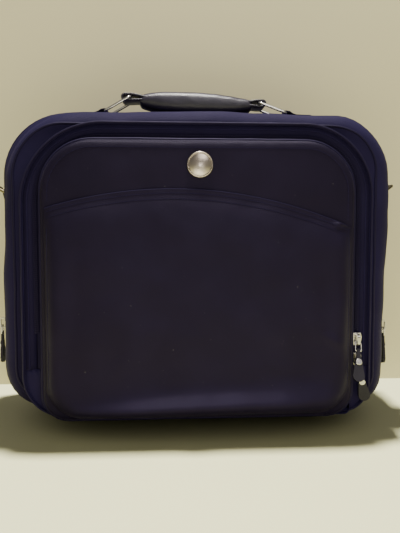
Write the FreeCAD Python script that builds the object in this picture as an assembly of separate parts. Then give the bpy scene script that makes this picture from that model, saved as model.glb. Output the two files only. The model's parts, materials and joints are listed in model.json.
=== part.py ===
"""Rolling laptop case: a soft two-compartment case on two wheels, with a telescoping trolley handle,
a padded carry handle and zipped compartments that open forwards.

Frame: +Z up, -Y is the front, +X is the right side seen from the front. The origin is on the floor, in the
middle of the overall width and depth. Lengths are in millimetres.

Depth stack from the front: slip pocket, organiser cover, organiser box, lid of the main compartment, main
zip, rear shell with the trolley behind a board, wheels.
"""
import FreeCAD, Part

import math
import os

V = FreeCAD.Vector
X_AXIS = V(1, 0, 0)
Y_AXIS = V(0, 1, 0)
Z_AXIS = V(0, 0, 1)

# ---- driving sizes: the case ----
body_width = 430.0
body_height = 330.0
ground_gap = 15.0
top_radius = 64.0
low_radius = 50.0
wall = 4.0
back_round = 8.0
lid_round = 18.0
lid_piping_turn = 75.0
piping_radius = 1.6

rear_depth = 102.0
lid_depth = 24.0
organiser_depth = 28.0
cover_depth = 14.0
pocket_bulge = 22.0
wheel_overhang = 10.0

organiser_inset = 28.0
organiser_top_drop = 17.0
organiser_top_radius = 76.0
organiser_low_radius = 50.0
organiser_wall = 3.0
cover_round = 5.0
cover_piping_back = 7.5
pocket_wall = 2.5
pocket_height = 226.0
pocket_rise = 16.0
pocket_side_margin = 5.0
pocket_round = 18.0
pocket_low_gap = 4.0
pocket_low_radius = 30.0
pocket_top_radius = 2.0
inner_pocket_depth = 8.0
inner_pocket_wall = 2.0
inner_pocket_side_margin = 40.0
inner_pocket_low_gap = 8.0
inner_pocket_height = 120.0
inner_pocket_back_rise = 30.0
inner_pocket_gap = 8.0

# ---- zips ----
tape_thickness = 1.2
tape_recess = 1.0
main_tape_width = 5.0
cover_tape_width = 12.5
bead_width = 2.3
bead_height = 1.4
zip_split = 0.5
slider_length = 14.0
slider_width = 11.0
slider_plate = 1.8
slider_clearance = 0.4
slider_round = 0.8
flange_clearance = 0.45
flange_lift = 0.3
bail_reach = 7.0
bail_length = 12.0
bail_bar = 1.7
bail_half = 1.3
bail_sink = 0.1
bail_outer_round = 3.4
bail_inner_round = 0.9
link_radius = 0.8
link_length = 9.5
link_width = 6.4
link_bend = 1.7
link_play = 0.5
tab_length = 33.0
tab_width = 13.0
tab_neck = 4.2
tab_neck_taper = 0.6
tab_top_rise = 2.6
tab_shoulder_drop = 4.0
tab_thickness = 2.6
eye_clearance = 0.3
stud_radius = 3.6
stud_height = 1.2
stud_round = 0.9
stud_share = 0.36
zip_end_gap = 1.5
main_slider_heights = {-1: 110.0, 1: 103.0}
upper_slider_z = 97.0
lower_slider_z = 75.0
upper_pull_lean = 7.5
lower_pull_lean = 12.0
upper_pull_tilt = 25.0

# ---- trolley ----
tube_spacing = 150.0
outer_tube_x = 26.0
outer_tube_y = 16.0
tube_wall = 1.2
tube_gap = 0.35
tube_corner = 3.4
trolley_inset = 24.0
stage_length = 288.0
stage_step = 4.0
grip_length = 190.0
grip_height = 20.0
grip_depth = 20.0
bezel_wall = 2.5
bezel_lip = 2.0
bezel_proud = 2.0
grip_clearance = 0.8
button_length = 34.0
button_depth = 9.0
button_proud = 1.0
button_travel = 3.0
button_height = 5.6
button_seat = 1.6
link_half = 1.5
link_height = 2.4
board_thickness = 2.0
board_gap = 3.0
board_top_share = 0.3
bracket_margin = 4.0
bracket_thickness = 6.0
bezel_corner = 4.0
grip_round = 6.0
button_round = 1.2
key_play = 0.35
rod_play = 0.9
rod_length = 230.0
board_clearance = 1.0
sleeve_gap = 32.0
sleeve_thickness = 8.0
sleeve_side_gap = 30.0
sleeve_top_gap = 62.0
sleeve_radius = 20.0

# ---- wheels and base ----
wheel_radius = 25.0
wheel_width = 18.0
wheel_centre_x = 160.0
hub_radius = 18.0
axle_radius = 3.0
axle_clearance = 0.05
housing_wall = 3.0
wheel_side_gap = 2.5
wheel_round_gap = 2.5
housing_drop = 5.0
housing_corner = 4.0
axle_head = 1.6
hub_pockets = 6
hub_pocket_depth = 5.4
hub_pocket_share = 0.46
tyre_round = 2.2
tray_thickness = 4.0
tray_length = 47.0
tray_corner = 8.0
foot_width = 298.0
foot_depth = 20.0
foot_step = 9.0
foot_set_back = 1.0
foot_rise = 5.0
kick_thickness = 3.0
pad_thickness = 6.0
pad_side_margin = 62.0
pad_low_gap = 10.0
pad_top_gap = 28.0
pad_low_radius = 16.0
pad_top_radius = 22.0
pad_round = 2.5
kick_sole = 34.0
screw_radius = 2.6
screw_head = 1.4

# ---- carry handle and shoulder-strap rings ----
handle_y_inset = 83.0
anchor_x = 104.0
webbing_width = 28.0
webbing_thickness = 1.6
ring_wire = 1.6
ring_length = 34.0
ring_width = 33.0
ring_lift_left = 30.0
ring_lift_right = 20.0
loop_play = 0.7
handle_travel = 8.0
loop_slack = 0.4
ring_bend = 4.5
anchor_rise = 0.6
anchor_sewn_length = 30.0
tongue_thickness = 5.4
tongue_overlap = 6.0
rivet_radius = 2.4
rivet_head = 1.0
rivet_shift = 1.6
strap_thickness = 2.2
carry_grip_length = 112.0
carry_grip_width = 30.0
carry_grip_height = 15.0
carry_grip_round = 6.5
carry_grip_drop = 9.5
d_ring_z = 258.0
d_ring_y_inset = 78.0
d_ring_reach = 20.0
d_ring_width = 24.0
d_ring_wire = 1.7
d_ring_lean = 60.0
d_ring_shoulder_share = 0.55
d_ring_nose_share = 0.42
d_ring_bend = 2.6
d_ring_play = 0.4
d_ring_stand = 0.5
tab_sewn_length = 26.0

# ---- badge ----
badge_radius = 13.6
badge_rim = 1.4
badge_height = 3.4
badge_rise = 2.0
badge_sink = 0.6
badge_z = 282.0

# ---- positions worked out from the sizes above ----
overall_depth = rear_depth + lid_depth + organiser_depth + cover_depth + pocket_bulge + wheel_overhang
front_y = -overall_depth / 2
cover_y = front_y + pocket_bulge
organiser_y = cover_y + cover_depth
lid_y = organiser_y + organiser_depth
main_zip_y = lid_y + lid_depth
back_y = main_zip_y + rear_depth
half_width = body_width / 2
floor_z = ground_gap
top_z = ground_gap + body_height

shell_front_y = main_zip_y + main_tape_width
lid_back_y = main_zip_y - main_tape_width

organiser_half = half_width - organiser_inset
organiser_top = top_z - organiser_top_drop
organiser_low = floor_z + 1.0
lip_inset = organiser_wall
cover_zip_inset = lip_inset + cover_tape_width
cover_inset = cover_zip_inset + cover_tape_width
cover_half = organiser_half - cover_inset

cover_zip_end = organiser_low + organiser_low_radius + 1
cover_coil_end = upper_slider_z + slider_length / 2 + zip_end_gap
main_zip_end = floor_z + low_radius + 4
main_coil_end = max(main_slider_heights.values()) + slider_length / 2 + 1
bail_face = bead_height + slider_clearance + slider_plate + bail_reach
slider_hinge_y = -(bail_face - bail_bar - link_radius - link_play)
slider_hinge_z = -(bail_length / 2 - bail_bar - link_radius - link_play)

wheel_y = overall_depth / 2 - wheel_radius
wheel_z = wheel_radius
housing_half = wheel_width / 2 + wheel_side_gap + housing_wall
housing_front_y = wheel_y - wheel_radius - wheel_round_gap - housing_wall
housing_top_z = wheel_z + wheel_radius + wheel_round_gap + housing_wall
housing_low_z = floor_z - housing_drop
well_half = wheel_width / 2 + wheel_side_gap
well_radius = wheel_radius + wheel_round_gap
tube_xs = (-tube_spacing / 2, tube_spacing / 2)

trolley_y = back_y - trolley_inset
bezel_half_x = grip_length / 2 + grip_clearance + bezel_wall
bezel_half_y = grip_depth / 2 + grip_clearance + bezel_wall
bezel_top_z = top_z + bezel_proud
grip_top_z = bezel_top_z
grip_low_z = grip_top_z - grip_height
bezel_floor_z = grip_low_z - grip_clearance
button_low_z = grip_top_z + button_proud - button_height
link_top_z = button_low_z - button_seat
tube_top_z = bezel_floor_z - bezel_wall
board_y = trolley_y - bezel_half_y - board_gap
board_low_z = housing_top_z + board_gap
board_top_z = top_z - top_radius * board_top_share

handle_y = back_y - handle_y_inset
anchor_z = top_z + webbing_thickness + ring_wire + loop_play + anchor_rise
ring_lifts = {-1: ring_lift_left, 1: ring_lift_right}


def ring_tip(side, lift=0.0):
    """Centre of a handle ring's upper bar, as x and z, with the handle raised by a lift."""
    rise = ring_length * math.sin(math.radians(ring_lifts[side])) + lift
    run = math.sqrt(ring_length ** 2 - rise ** 2)
    return side * (anchor_x - run), anchor_z + rise


carry_low_z = ring_tip(-1)[1] - carry_grip_drop
d_ring_x = half_width + webbing_thickness + d_ring_wire + d_ring_stand
d_ring_y = back_y - d_ring_y_inset


# ---- shape helpers ----
def box(x0, x1, y0, y1, z0, z1):
    """Block between two corners."""
    return Part.makeBox(x1 - x0, y1 - y0, z1 - z0, V(x0, y0, z0))


def block(x, y, half_x, half_y, z0, z1):
    """Block centred on an upright line."""
    return box(x - half_x, x + half_x, y - half_y, y + half_y, z0, z1)


def rod(start, direction, radius, length):
    """Cylinder from a point along a direction."""
    return Part.makeCylinder(radius, length, start, direction)


def arc(centre_x, centre_z, radius, angle0, angle1, y):
    """Circular arc edge in a plane of constant y. Angles are in degrees from +X towards +Z."""
    points = []
    for angle in (angle0, (angle0 + angle1) / 2, angle1):
        turn = math.radians(angle)
        points.append(V(centre_x + radius * math.cos(turn), y, centre_z + radius * math.sin(turn)))
    return Part.Arc(*points).toShape()


def line(x0, z0, x1, z1, y):
    """Straight edge in a plane of constant y."""
    return Part.LineSegment(V(x0, y, z0), V(x1, y, z1)).toShape()


def outline(half, low, high, r_low, r_top, y):
    """Closed rounded rectangle, symmetric about x = 0."""
    return Part.Wire([
        line(-half + r_low, low, half - r_low, low, y),
        arc(half - r_low, low + r_low, r_low, -90, 0, y),
        line(half, low + r_low, half, high - r_top, y),
        arc(half - r_top, high - r_top, r_top, 0, 90, y),
        line(half - r_top, high, -half + r_top, high, y),
        arc(-half + r_top, high - r_top, r_top, 90, 180, y),
        line(-half, high - r_top, -half, low + r_low, y),
        arc(-half + r_low, low + r_low, r_low, 180, 270, y),
    ])


def slab(wire, depth):
    """Solid between a flat outline and its copy a depth further along +Y."""
    return Part.Face(wire).extrude(V(0, depth, 0))


def body_slab(inset, y0, y1):
    """Slab of the main outline, taken in all round by an inset."""
    wire = outline(half_width - inset, floor_z + inset, top_z - inset, low_radius - inset,
                   top_radius - inset, y0)
    return slab(wire, y1 - y0)


def organiser_slab(inset, y0, y1):
    """Slab of the organiser's outline. Its low edge stays at the same height for every inset."""
    wire = outline(organiser_half - inset, organiser_low, organiser_top - inset, organiser_low_radius - inset,
                   organiser_top_radius - inset, y0)
    return slab(wire, y1 - y0)


def above(shape, z):
    """The part of a shape above a height."""
    keep = box(-2 * body_width, 2 * body_width, -2 * overall_depth, 2 * overall_depth, z, 3 * top_z)
    return shape.common(keep)


def rounded(shape, radius, pick):
    """Fillets the edges that a test picks."""
    edges = [edge for edge in shape.Edges if pick(edge)]
    return shape.makeFillet(radius, edges)


def upright_edge(height):
    """Test for straight upright edges of a height."""
    return lambda edge: abs(edge.BoundBox.ZLength - height) < 1e-4 and edge.BoundBox.YLength < 1e-4


def cross_edge_before(y):
    """Test for edges along X at or before a plane of constant y."""
    return lambda edge: edge.BoundBox.XLength > 2 * bail_half - 1e-4 and edge.BoundBox.YMin < y + 1e-4


def edge_at_y(y):
    """Test for edges that lie in a plane of constant y."""
    return lambda edge: abs(edge.BoundBox.YMin - y) < 1e-4 and abs(edge.BoundBox.YMax - y) < 1e-4


def wire_loop(corners, bend, radius):
    """Closed round-wire loop through corners in one plane, with every corner bent to a radius."""
    count = len(corners)
    starts, ends, middles = [], [], []
    for index, corner in enumerate(corners):
        back = (corners[index - 1] - corner).normalize()
        ahead = (corners[(index + 1) % count] - corner).normalize()
        half_turn = back.getAngle(ahead) / 2
        reach = bend / math.tan(half_turn)
        inward = (back + ahead).normalize()
        starts.append(corner + back * reach)
        ends.append(corner + ahead * reach)
        middles.append(corner + inward * (bend / math.sin(half_turn) - bend))
    edges = []
    for index in range(count):
        after = (index + 1) % count
        edges.append(Part.Arc(starts[index], middles[index], ends[index]).toShape())
        edges.append(Part.LineSegment(ends[index], starts[after]).toShape())
    direction = (starts[1] - ends[0]).normalize()
    profile = Part.Wire(Part.makeCircle(radius, ends[0], direction))
    path = Part.Wire(Part.__sortEdges__(edges[1:] + edges[:1]))
    return path.makePipeShell([profile], True, False)


def turned(shape, centre, axis, degrees):
    """Copy of a shape turned about a line."""
    copy = shape.copy()
    copy.rotate(centre, axis, degrees)
    return copy


def moved(shape, x, y, z):
    """Copy of a shape shifted."""
    copy = shape.copy()
    copy.translate(V(x, y, z))
    return copy


def hinge_band(y0, y1):
    """Band of fabric round the lower edge of the case, below the ends of the main zip."""
    band = body_slab(0, y0, y1).cut(body_slab(tape_thickness, y0 - 1, y1 + 1))
    return band.common(box(-half_width - 1, half_width + 1, y0 - 1, y1 + 1, 0, main_zip_end - 1))


# ---- rear shell, board, pads ----
def rear_shell():
    """Foam-backed fabric box, open at the front, with cut-outs for the wheels and the trolley bezel."""
    outer = rounded(body_slab(0, shell_front_y, back_y), back_round, edge_at_y(back_y))
    shell = outer.cut(body_slab(wall, shell_front_y - 1, back_y - wall))
    for side in (-1, 1):
        centre = side * wheel_centre_x
        shell = shell.cut(box(centre - housing_half, centre + housing_half, housing_front_y, back_y + 1,
                              housing_low_z - 1, housing_top_z))
    return shell.cut(block(0, trolley_y, bezel_half_x, bezel_half_y, tube_top_z, top_z + 1))


def back_board():
    """Stiff sheet that parts the trolley tubes from the main compartment."""
    board = body_slab(wall + board_clearance, board_y, board_y + board_thickness)
    room = box(-half_width, half_width, board_y, board_y + board_thickness, board_low_z, board_top_z)
    return board.common(room)


def back_pad():
    """Padded panel on the back of the case, over the trolley tubes."""
    half = half_width - pad_side_margin
    wire = outline(half, housing_top_z + pad_low_gap, top_z - pad_top_gap, pad_low_radius, pad_top_radius, back_y)
    return rounded(slab(wire, pad_thickness), pad_round, edge_at_y(back_y + pad_thickness))


def laptop_sleeve():
    """Padded divider that stands on the floor of the main compartment, in front of the board."""
    sleeve_y = board_y - sleeve_gap - sleeve_thickness
    wire = outline(half_width - sleeve_side_gap, floor_z + wall, top_z - sleeve_top_gap,
                   low_radius - sleeve_radius, sleeve_radius, sleeve_y)
    return slab(wire, sleeve_thickness)


# ---- base, wheels and their housings ----
def base_tray():
    """Flat moulding under the front half of the rear shell."""
    tray = box(-foot_width / 2, foot_width / 2, shell_front_y, shell_front_y + tray_length,
               floor_z - tray_thickness, floor_z)
    return rounded(tray, tray_corner, upright_edge(tray_thickness))


def foot_rail():
    """Front foot: a rail across the case with stepped ends."""
    half = foot_width / 2
    top = floor_z - tray_thickness
    y0 = shell_front_y + foot_set_back
    outer, inner = half - foot_step, half - 2 * foot_step
    points = [(-outer, foot_rise), (-inner, 0), (inner, 0), (outer, foot_rise), (half, foot_rise), (half, top),
              (-half, top), (-half, foot_rise)]
    ring = [V(x, y0, z) for x, z in points]
    return Part.Face(Part.makePolygon(ring + ring[:1])).extrude(V(0, foot_depth, 0))


def wheel_housing(side):
    """Moulded corner with a well for the wheel, open below and behind, and bores for the axle."""
    centre = side * wheel_centre_x
    height = housing_top_z - housing_low_z
    shell = box(centre - housing_half, centre + housing_half, housing_front_y, back_y + kick_thickness,
                housing_low_z, housing_top_z)
    shell = rounded(shell, housing_corner, upright_edge(height))
    x0, x1 = centre - well_half, centre + well_half
    below = housing_low_z - 1
    shell = shell.cut(rod(V(x0, wheel_y, wheel_z), X_AXIS, well_radius, x1 - x0))
    shell = shell.cut(box(x0, x1, wheel_y - well_radius, wheel_y + well_radius, below, wheel_z))
    shell = shell.cut(box(x0, x1, wheel_y, back_y + 2 * well_radius, below, wheel_z + well_radius))
    start = V(centre - 2 * housing_half, wheel_y, wheel_z)
    return shell.cut(rod(start, X_AXIS, axle_radius, 4 * housing_half))


def wheel_axles():
    """One headed steel pin through each housing."""
    pins = []
    for side in (-1, 1):
        start = side * wheel_centre_x - housing_half
        pin = rod(V(start, wheel_y, wheel_z), X_AXIS, axle_radius, 2 * housing_half)
        for end in (start - axle_head, start + 2 * housing_half):
            pin = pin.fuse(rod(V(end, wheel_y, wheel_z), X_AXIS, axle_radius + axle_head, axle_head))
        pins.append(pin)
    return Part.makeCompound(pins)


def wheel_hub(side):
    """Moulded hub with a ring of lightening pockets on each face."""
    start = side * wheel_centre_x - wheel_width / 2
    hub = rod(V(start, wheel_y, wheel_z), X_AXIS, hub_radius, wheel_width)
    hub = hub.cut(rod(V(start - 1, wheel_y, wheel_z), X_AXIS, axle_radius + axle_clearance, wheel_width + 2))
    circle = (hub_radius + axle_radius) / 2
    pocket = (hub_radius - axle_radius) * hub_pocket_share / 2
    for face in (start - 1, start + wheel_width - hub_pocket_depth):
        for count in range(hub_pockets):
            turn = 2 * math.pi * count / hub_pockets
            centre = V(face, wheel_y + circle * math.cos(turn), wheel_z + circle * math.sin(turn))
            hub = hub.cut(rod(centre, X_AXIS, pocket, hub_pocket_depth + 1))
    return hub


def wheel_tyre(side):
    """Rubber tread bonded on the hub."""
    start = side * wheel_centre_x - wheel_width / 2
    tyre = rod(V(start, wheel_y, wheel_z), X_AXIS, wheel_radius, wheel_width)
    tyre = tyre.cut(rod(V(start - 1, wheel_y, wheel_z), X_AXIS, hub_radius, wheel_width + 2))
    return rounded(tyre, tyre_round, lambda edge: edge.BoundBox.XLength < 1e-6
                   and abs(edge.BoundBox.ZLength - 2 * wheel_radius) < 1e-3)


def kick_plate():
    """Angle moulding that guards the lower back edge between the wheels."""
    half = wheel_centre_x - housing_half - 1
    low = floor_z - kick_thickness
    upright = box(-half, half, back_y, back_y + kick_thickness, low, housing_top_z)
    return upright.fuse(box(-half, half, back_y - kick_sole, back_y, low, floor_z)).removeSplitter()


def base_screws():
    """Screws that hold the base tray and the kick plate."""
    heads = []
    tray_y = shell_front_y + (foot_depth + tray_length) / 2
    kick_z = (floor_z + housing_top_z + kick_thickness) / 2
    for share in (-3, -1, 1, 3):
        x = share * foot_width / 8
        start = V(x, tray_y, floor_z - tray_thickness - screw_head)
        heads.append(rod(start, Z_AXIS, screw_radius, screw_head))
        heads.append(rod(V(x, back_y + kick_thickness, kick_z), Y_AXIS, screw_radius, screw_head))
    return Part.makeCompound(heads)


# ---- trolley ----
def tube_size(stage):
    """Half width and half depth of a tube: stage 0 is fixed, 1 slides in it, 2 slides in 1."""
    shrink = stage * (tube_wall + tube_gap)
    return outer_tube_x / 2 - shrink, outer_tube_y / 2 - shrink


def tube_pair(stage, low, high):
    """Two tubes of one stage, with rounded corners."""
    half_x, half_y = tube_size(stage)
    corner = tube_corner - stage * (tube_wall + tube_gap) / 2
    tubes = []
    for x in tube_xs:
        tube = rounded(block(x, trolley_y, half_x, half_y, low, high), corner, upright_edge(high - low))
        bore = block(x, trolley_y, half_x - tube_wall, half_y - tube_wall, low - 1, high + 1)
        tubes.append(tube.cut(rounded(bore, corner - tube_wall / 2, upright_edge(high - low + 2))))
    return Part.makeCompound(tubes)


def trolley_foot():
    """Bracket that ties the lower ends of the fixed tubes together."""
    half = tube_spacing / 2 + outer_tube_x / 2 + bracket_margin
    top = tube_top_z - stage_length
    return box(-half, half, trolley_y - outer_tube_y / 2 - bracket_margin / 2, back_y - wall,
               top - bracket_thickness, top)


def trolley_bezel():
    """Cup let into the top of the case. The grip parks in it, and the tubes slide through its floor."""
    cup = block(0, trolley_y, bezel_half_x, bezel_half_y, tube_top_z, bezel_top_z)
    lip = block(0, trolley_y, bezel_half_x + bezel_lip, bezel_half_y + bezel_lip, top_z, bezel_top_z)
    cup = cup.fuse(rounded(lip, bezel_corner, upright_edge(bezel_proud)))
    room_x, room_y = grip_length / 2 + grip_clearance, grip_depth / 2 + grip_clearance
    cup = cup.cut(block(0, trolley_y, room_x, room_y, bezel_floor_z, bezel_top_z + 1))
    half_x, half_y = tube_size(1)
    for x in tube_xs:
        room = block(x, trolley_y, half_x + tube_gap, half_y + tube_gap, tube_top_z - 1, bezel_floor_z + 1)
        cup = cup.cut(room)
    return cup.removeSplitter()


def bezel_screws():
    """Screws at the two ends of the bezel, under its floor."""
    screws = []
    x = tube_spacing / 2 + outer_tube_x / 2 + screw_radius + screw_head
    y = bezel_half_y - screw_radius - bezel_wall
    for dx, dy in ((-x, -y), (-x, y), (x, -y), (x, y)):
        screws.append(rod(V(dx, trolley_y + dy, tube_top_z - screw_head), Z_AXIS, screw_radius, screw_head))
    return Part.makeCompound(screws)


def trolley_grip():
    """Bar handle across the inner tubes, with a socket for the release button, its link and its rods."""
    bar = block(0, trolley_y, grip_length / 2, grip_depth / 2, grip_low_z, grip_top_z)
    bar = rounded(bar, grip_round, lambda edge: edge.BoundBox.YLength < 1e-6)
    bar = bar.cut(block(0, trolley_y, button_length / 2 + key_play, button_depth / 2 + key_play,
                        button_low_z - button_travel - key_play, grip_top_z + 1))
    room = link_half + rod_play
    low, high = link_top_z - link_height - button_travel - key_play, link_top_z + key_play
    bar = bar.cut(block(0, trolley_y, tube_spacing / 2 + room, room, low, high))
    for x in tube_xs:
        bar = bar.cut(block(x, trolley_y, room, room, grip_low_z - 1, high))
    return bar


def release_button():
    """Push button in the top of the trolley grip."""
    top = grip_top_z + button_proud
    key = block(0, trolley_y, button_length / 2, button_depth / 2, button_low_z, top)
    return rounded(key, button_round, lambda edge: edge.BoundBox.ZMin > top - 1e-4)


def release_rods():
    """Flat link under the button and the two rods that it pushes down inside the inner tubes."""
    link = block(0, trolley_y, tube_spacing / 2 + link_half, link_half, link_top_z - link_height, link_top_z)
    link = link.fuse(block(0, trolley_y, button_length / 4, link_half, link_top_z, button_low_z))
    for x in tube_xs:
        link = link.fuse(block(x, trolley_y, link_half, link_half, grip_low_z - rod_length, link_top_z))
    return link.removeSplitter()


# ---- carry handle ----
def handle_ring(side):
    """Chromed wire ring between a webbing anchor and the handle's strap."""
    tip_x, tip_z = ring_tip(side)
    half = ring_width / 2
    corners = [V(side * anchor_x, handle_y - half, anchor_z), V(side * anchor_x, handle_y + half, anchor_z),
               V(tip_x, handle_y + half, tip_z), V(tip_x, handle_y - half, tip_z)]
    return wire_loop(corners, ring_bend, ring_wire)


def handle_anchors():
    """Webbing tabs sewn on the top of the case, each folded into a loop round a ring's lower bar."""
    inner = ring_wire + loop_play
    outer = inner + webbing_thickness
    y0 = handle_y - webbing_width / 2
    tabs = []
    for side in (-1, 1):
        x0, x1 = sorted((side * (anchor_x - outer), side * (anchor_x + anchor_sewn_length)))
        tab = box(x0, x1, y0, y0 + webbing_width, top_z, top_z + webbing_thickness)
        tab = tab.fuse(rod(V(side * anchor_x, y0, anchor_z), Y_AXIS, outer, webbing_width))
        tab = tab.cut(rod(V(side * anchor_x, y0, anchor_z), Y_AXIS, inner, webbing_width))
        tabs.append(above(tab, top_z))
    return Part.makeCompound(tabs)


def strap_loop(side, grow):
    """Long loop outline round the travel of a ring's upper bar, seen from the front."""
    rest_x, z = ring_tip(side)
    lifted_x = ring_tip(side, handle_travel)[0]
    radius = ring_wire + loop_play + grow
    y0, y1 = handle_y - webbing_width / 2, handle_y + webbing_width / 2
    x0, x1 = sorted((rest_x, lifted_x))
    loop = box(x0 - loop_slack, x1 + loop_slack, y0, y1, z - radius, z + radius)
    for x in (x0 - loop_slack, x1 + loop_slack):
        loop = loop.fuse(rod(V(x, y0, z), Y_AXIS, radius, webbing_width))
    return loop


def tongue_low_z(side):
    """Underside of a strap's flat tongue."""
    return max(ring_tip(side)[1] - tongue_thickness / 2, carry_low_z + 2)


def handle_straps():
    """Strap ends of the carry handle, each folded round a ring and stitched into the grip."""
    y0, y1 = handle_y - webbing_width / 2, handle_y + webbing_width / 2
    straps = []
    for side in (-1, 1):
        x0, x1 = sorted((side * (carry_grip_length / 2 - tongue_overlap), ring_tip(side)[0]))
        low = tongue_low_z(side)
        strap = strap_loop(side, strap_thickness).fuse(box(x0, x1, y0, y1, low, low + tongue_thickness))
        straps.append(strap.cut(strap_loop(side, 0)).removeSplitter())
    return Part.makeCompound(straps)


def carry_grip():
    """Padded grip of the carry handle."""
    high_z = carry_low_z + carry_grip_height
    bar = block(0, handle_y, carry_grip_length / 2, carry_grip_width / 2, carry_low_z, high_z)
    bar = rounded(bar, carry_grip_round, lambda edge: edge.BoundBox.XLength > carry_grip_length - 1e-4)
    return bar.cut(handle_straps())


def handle_rivets():
    """Rivets through the strap ends, beside the grip."""
    rivets = []
    for side in (-1, 1):
        loop_end = abs(ring_tip(side)[0]) - ring_wire - loop_play - strap_thickness
        x = (loop_end + carry_grip_length / 2) / 2 + rivet_shift
        for dy in (-webbing_width / 4, webbing_width / 4):
            top = V(side * x, handle_y + dy, tongue_low_z(side) + tongue_thickness)
            rivets.append(rod(top, Z_AXIS, rivet_radius, rivet_head))
    return Part.makeCompound(rivets)


# ---- shoulder-strap rings ----
def side_tabs():
    """Webbing tabs sewn on the sides, each folded into a loop round a ring's straight bar."""
    inner = d_ring_wire + d_ring_play
    outer = inner + webbing_thickness
    half = d_ring_width / 2 - 2 * d_ring_wire
    y0, y1 = d_ring_y - half, d_ring_y + half
    tabs = []
    for side in (-1, 1):
        x0, x1 = sorted((side * half_width, side * (half_width + webbing_thickness)))
        tab = box(x0, x1, y0, y1, d_ring_z - tab_sewn_length, d_ring_z)
        tab = tab.fuse(rod(V(side * d_ring_x, y0, d_ring_z), Y_AXIS, outer, y1 - y0))
        tab = tab.cut(rod(V(side * d_ring_x, y0, d_ring_z), Y_AXIS, inner, y1 - y0))
        x0, x1 = sorted((side * half_width, side * (half_width + 2 * d_ring_reach)))
        tabs.append(tab.common(box(x0, x1, y0, y1, 0, top_z)))
    return Part.makeCompound(tabs)


def d_ring(side):
    """D-shaped wire ring for a shoulder strap, leaning outwards from its tab."""
    half = d_ring_width / 2
    shoulder = d_ring_reach * d_ring_shoulder_share
    nose = half * d_ring_nose_share
    base = V(side * d_ring_x, d_ring_y, d_ring_z)
    outline_points = [(-half, 0), (half, 0), (half, shoulder), (nose, d_ring_reach),
                      (-nose, d_ring_reach), (-half, shoulder)]
    corners = [base + V(0, y, z) for y, z in outline_points]
    return turned(wire_loop(corners, d_ring_bend, d_ring_wire), base, Y_AXIS, side * d_ring_lean)


# ---- lid of the main compartment and its organiser box ----
def lid_outer(y_back):
    """Solid outer form of the lid, with its broad rounded front edge."""
    return rounded(body_slab(0, lid_y, y_back), lid_round, edge_at_y(lid_y))


def lid_panel():
    """Front of the main compartment: a shallow fabric tray with a hinge fold along its lower edge."""
    room = rounded(body_slab(wall, lid_y + wall, lid_back_y + 1), lid_round - wall, edge_at_y(lid_y + wall))
    fold = hinge_band(lid_back_y, main_zip_y - zip_split / 2)
    return lid_outer(lid_back_y).cut(room).fuse(fold).removeSplitter()


def lid_piping():
    """Piping sewn round the lid where its rounded edge meets the flat front."""
    turn = math.radians(lid_piping_turn)
    inset = lid_round * (1 - math.cos(turn))
    y = lid_y + lid_round * (1 - math.sin(turn))
    outer = body_slab(inset - piping_radius, y - piping_radius, y + piping_radius)
    ring = outer.cut(body_slab(inset + piping_radius, y - piping_radius - 1, y + piping_radius + 1))
    return ring.cut(lid_outer(lid_back_y))


def organiser_box():
    """Side wall of the organiser compartment, sewn on the front of the lid."""
    lip_back = organiser_y + tape_recess + tape_thickness
    reach = lid_y + lid_round
    ring = organiser_slab(0, lip_back, reach)
    room = outline(organiser_half - organiser_wall, organiser_low + organiser_wall, organiser_top - organiser_wall,
                   organiser_low_radius - organiser_wall, organiser_top_radius - organiser_wall, lip_back - 1)
    ring = ring.cut(slab(room, reach - lip_back + 2)).cut(lid_outer(lid_back_y)).cut(lid_piping())
    opening = organiser_slab(lip_inset, organiser_y - 1, lip_back + 1)
    lip = organiser_slab(0, organiser_y, lip_back).cut(opening)
    return ring.fuse(above(lip, cover_zip_end)).removeSplitter()


def organiser_pockets():
    """Two flat pockets side by side inside the organiser, on the front of the lid."""
    half = organiser_half - inner_pocket_side_margin
    low = floor_z + lid_round + inner_pocket_low_gap
    rim = inner_pocket_wall
    front = lid_y - rim
    top = low + inner_pocket_height
    panel = box(-half, half, front, lid_y, low, top + inner_pocket_back_rise)
    for x0, x1 in ((-half, -inner_pocket_gap / 2), (inner_pocket_gap / 2, half)):
        panel = panel.fuse(box(x0, x1, front - inner_pocket_depth - rim, front, low, top))
        panel = panel.cut(box(x0 + rim, x1 - rim, front - inner_pocket_depth, front, low + rim, top + 1))
    return panel.removeSplitter()


# ---- zips ----
def main_zip(front):
    """Half of the main zip: tape and coil round the sides and the top, facing outwards."""
    edge = main_zip_y - zip_split / 2 if front else main_zip_y + zip_split / 2
    far = lid_back_y if front else shell_front_y
    y0, y1 = min(edge, far), max(edge, far)
    tape = body_slab(tape_recess, y0, y1).cut(body_slab(tape_recess + tape_thickness, y0 - 1, y1 + 1))
    tape = above(tape, main_zip_end)
    b0, b1 = (edge - bead_width, edge) if front else (edge, edge + bead_width)
    bead = body_slab(tape_recess - bead_height, b0, b1).cut(body_slab(tape_recess, b0 - 1, b1 + 1))
    return tape.fuse(above(bead, main_coil_end)).removeSplitter()


def cover_zip(inner):
    """Half of the organiser's zip, facing forwards. The inner half is sewn to the cover."""
    y0 = organiser_y + tape_recess
    y1 = y0 + tape_thickness
    split = cover_zip_inset + (zip_split / 2 if inner else -zip_split / 2)
    rim = cover_inset if inner else lip_inset
    low, high = min(split, rim), max(split, rim)
    tape = organiser_slab(low, y0, y1).cut(organiser_slab(high, y0 - 1, y1 + 1))
    b0, b1 = (split, split + bead_width) if inner else (split - bead_width, split)
    bead = organiser_slab(b0, y0 - bead_height, y0).cut(organiser_slab(b1, y0 - bead_height - 1, y0 + 1))
    half = tape.fuse(above(bead, cover_coil_end))
    return above(half, cover_coil_end if inner else cover_zip_end).removeSplitter()


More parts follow.
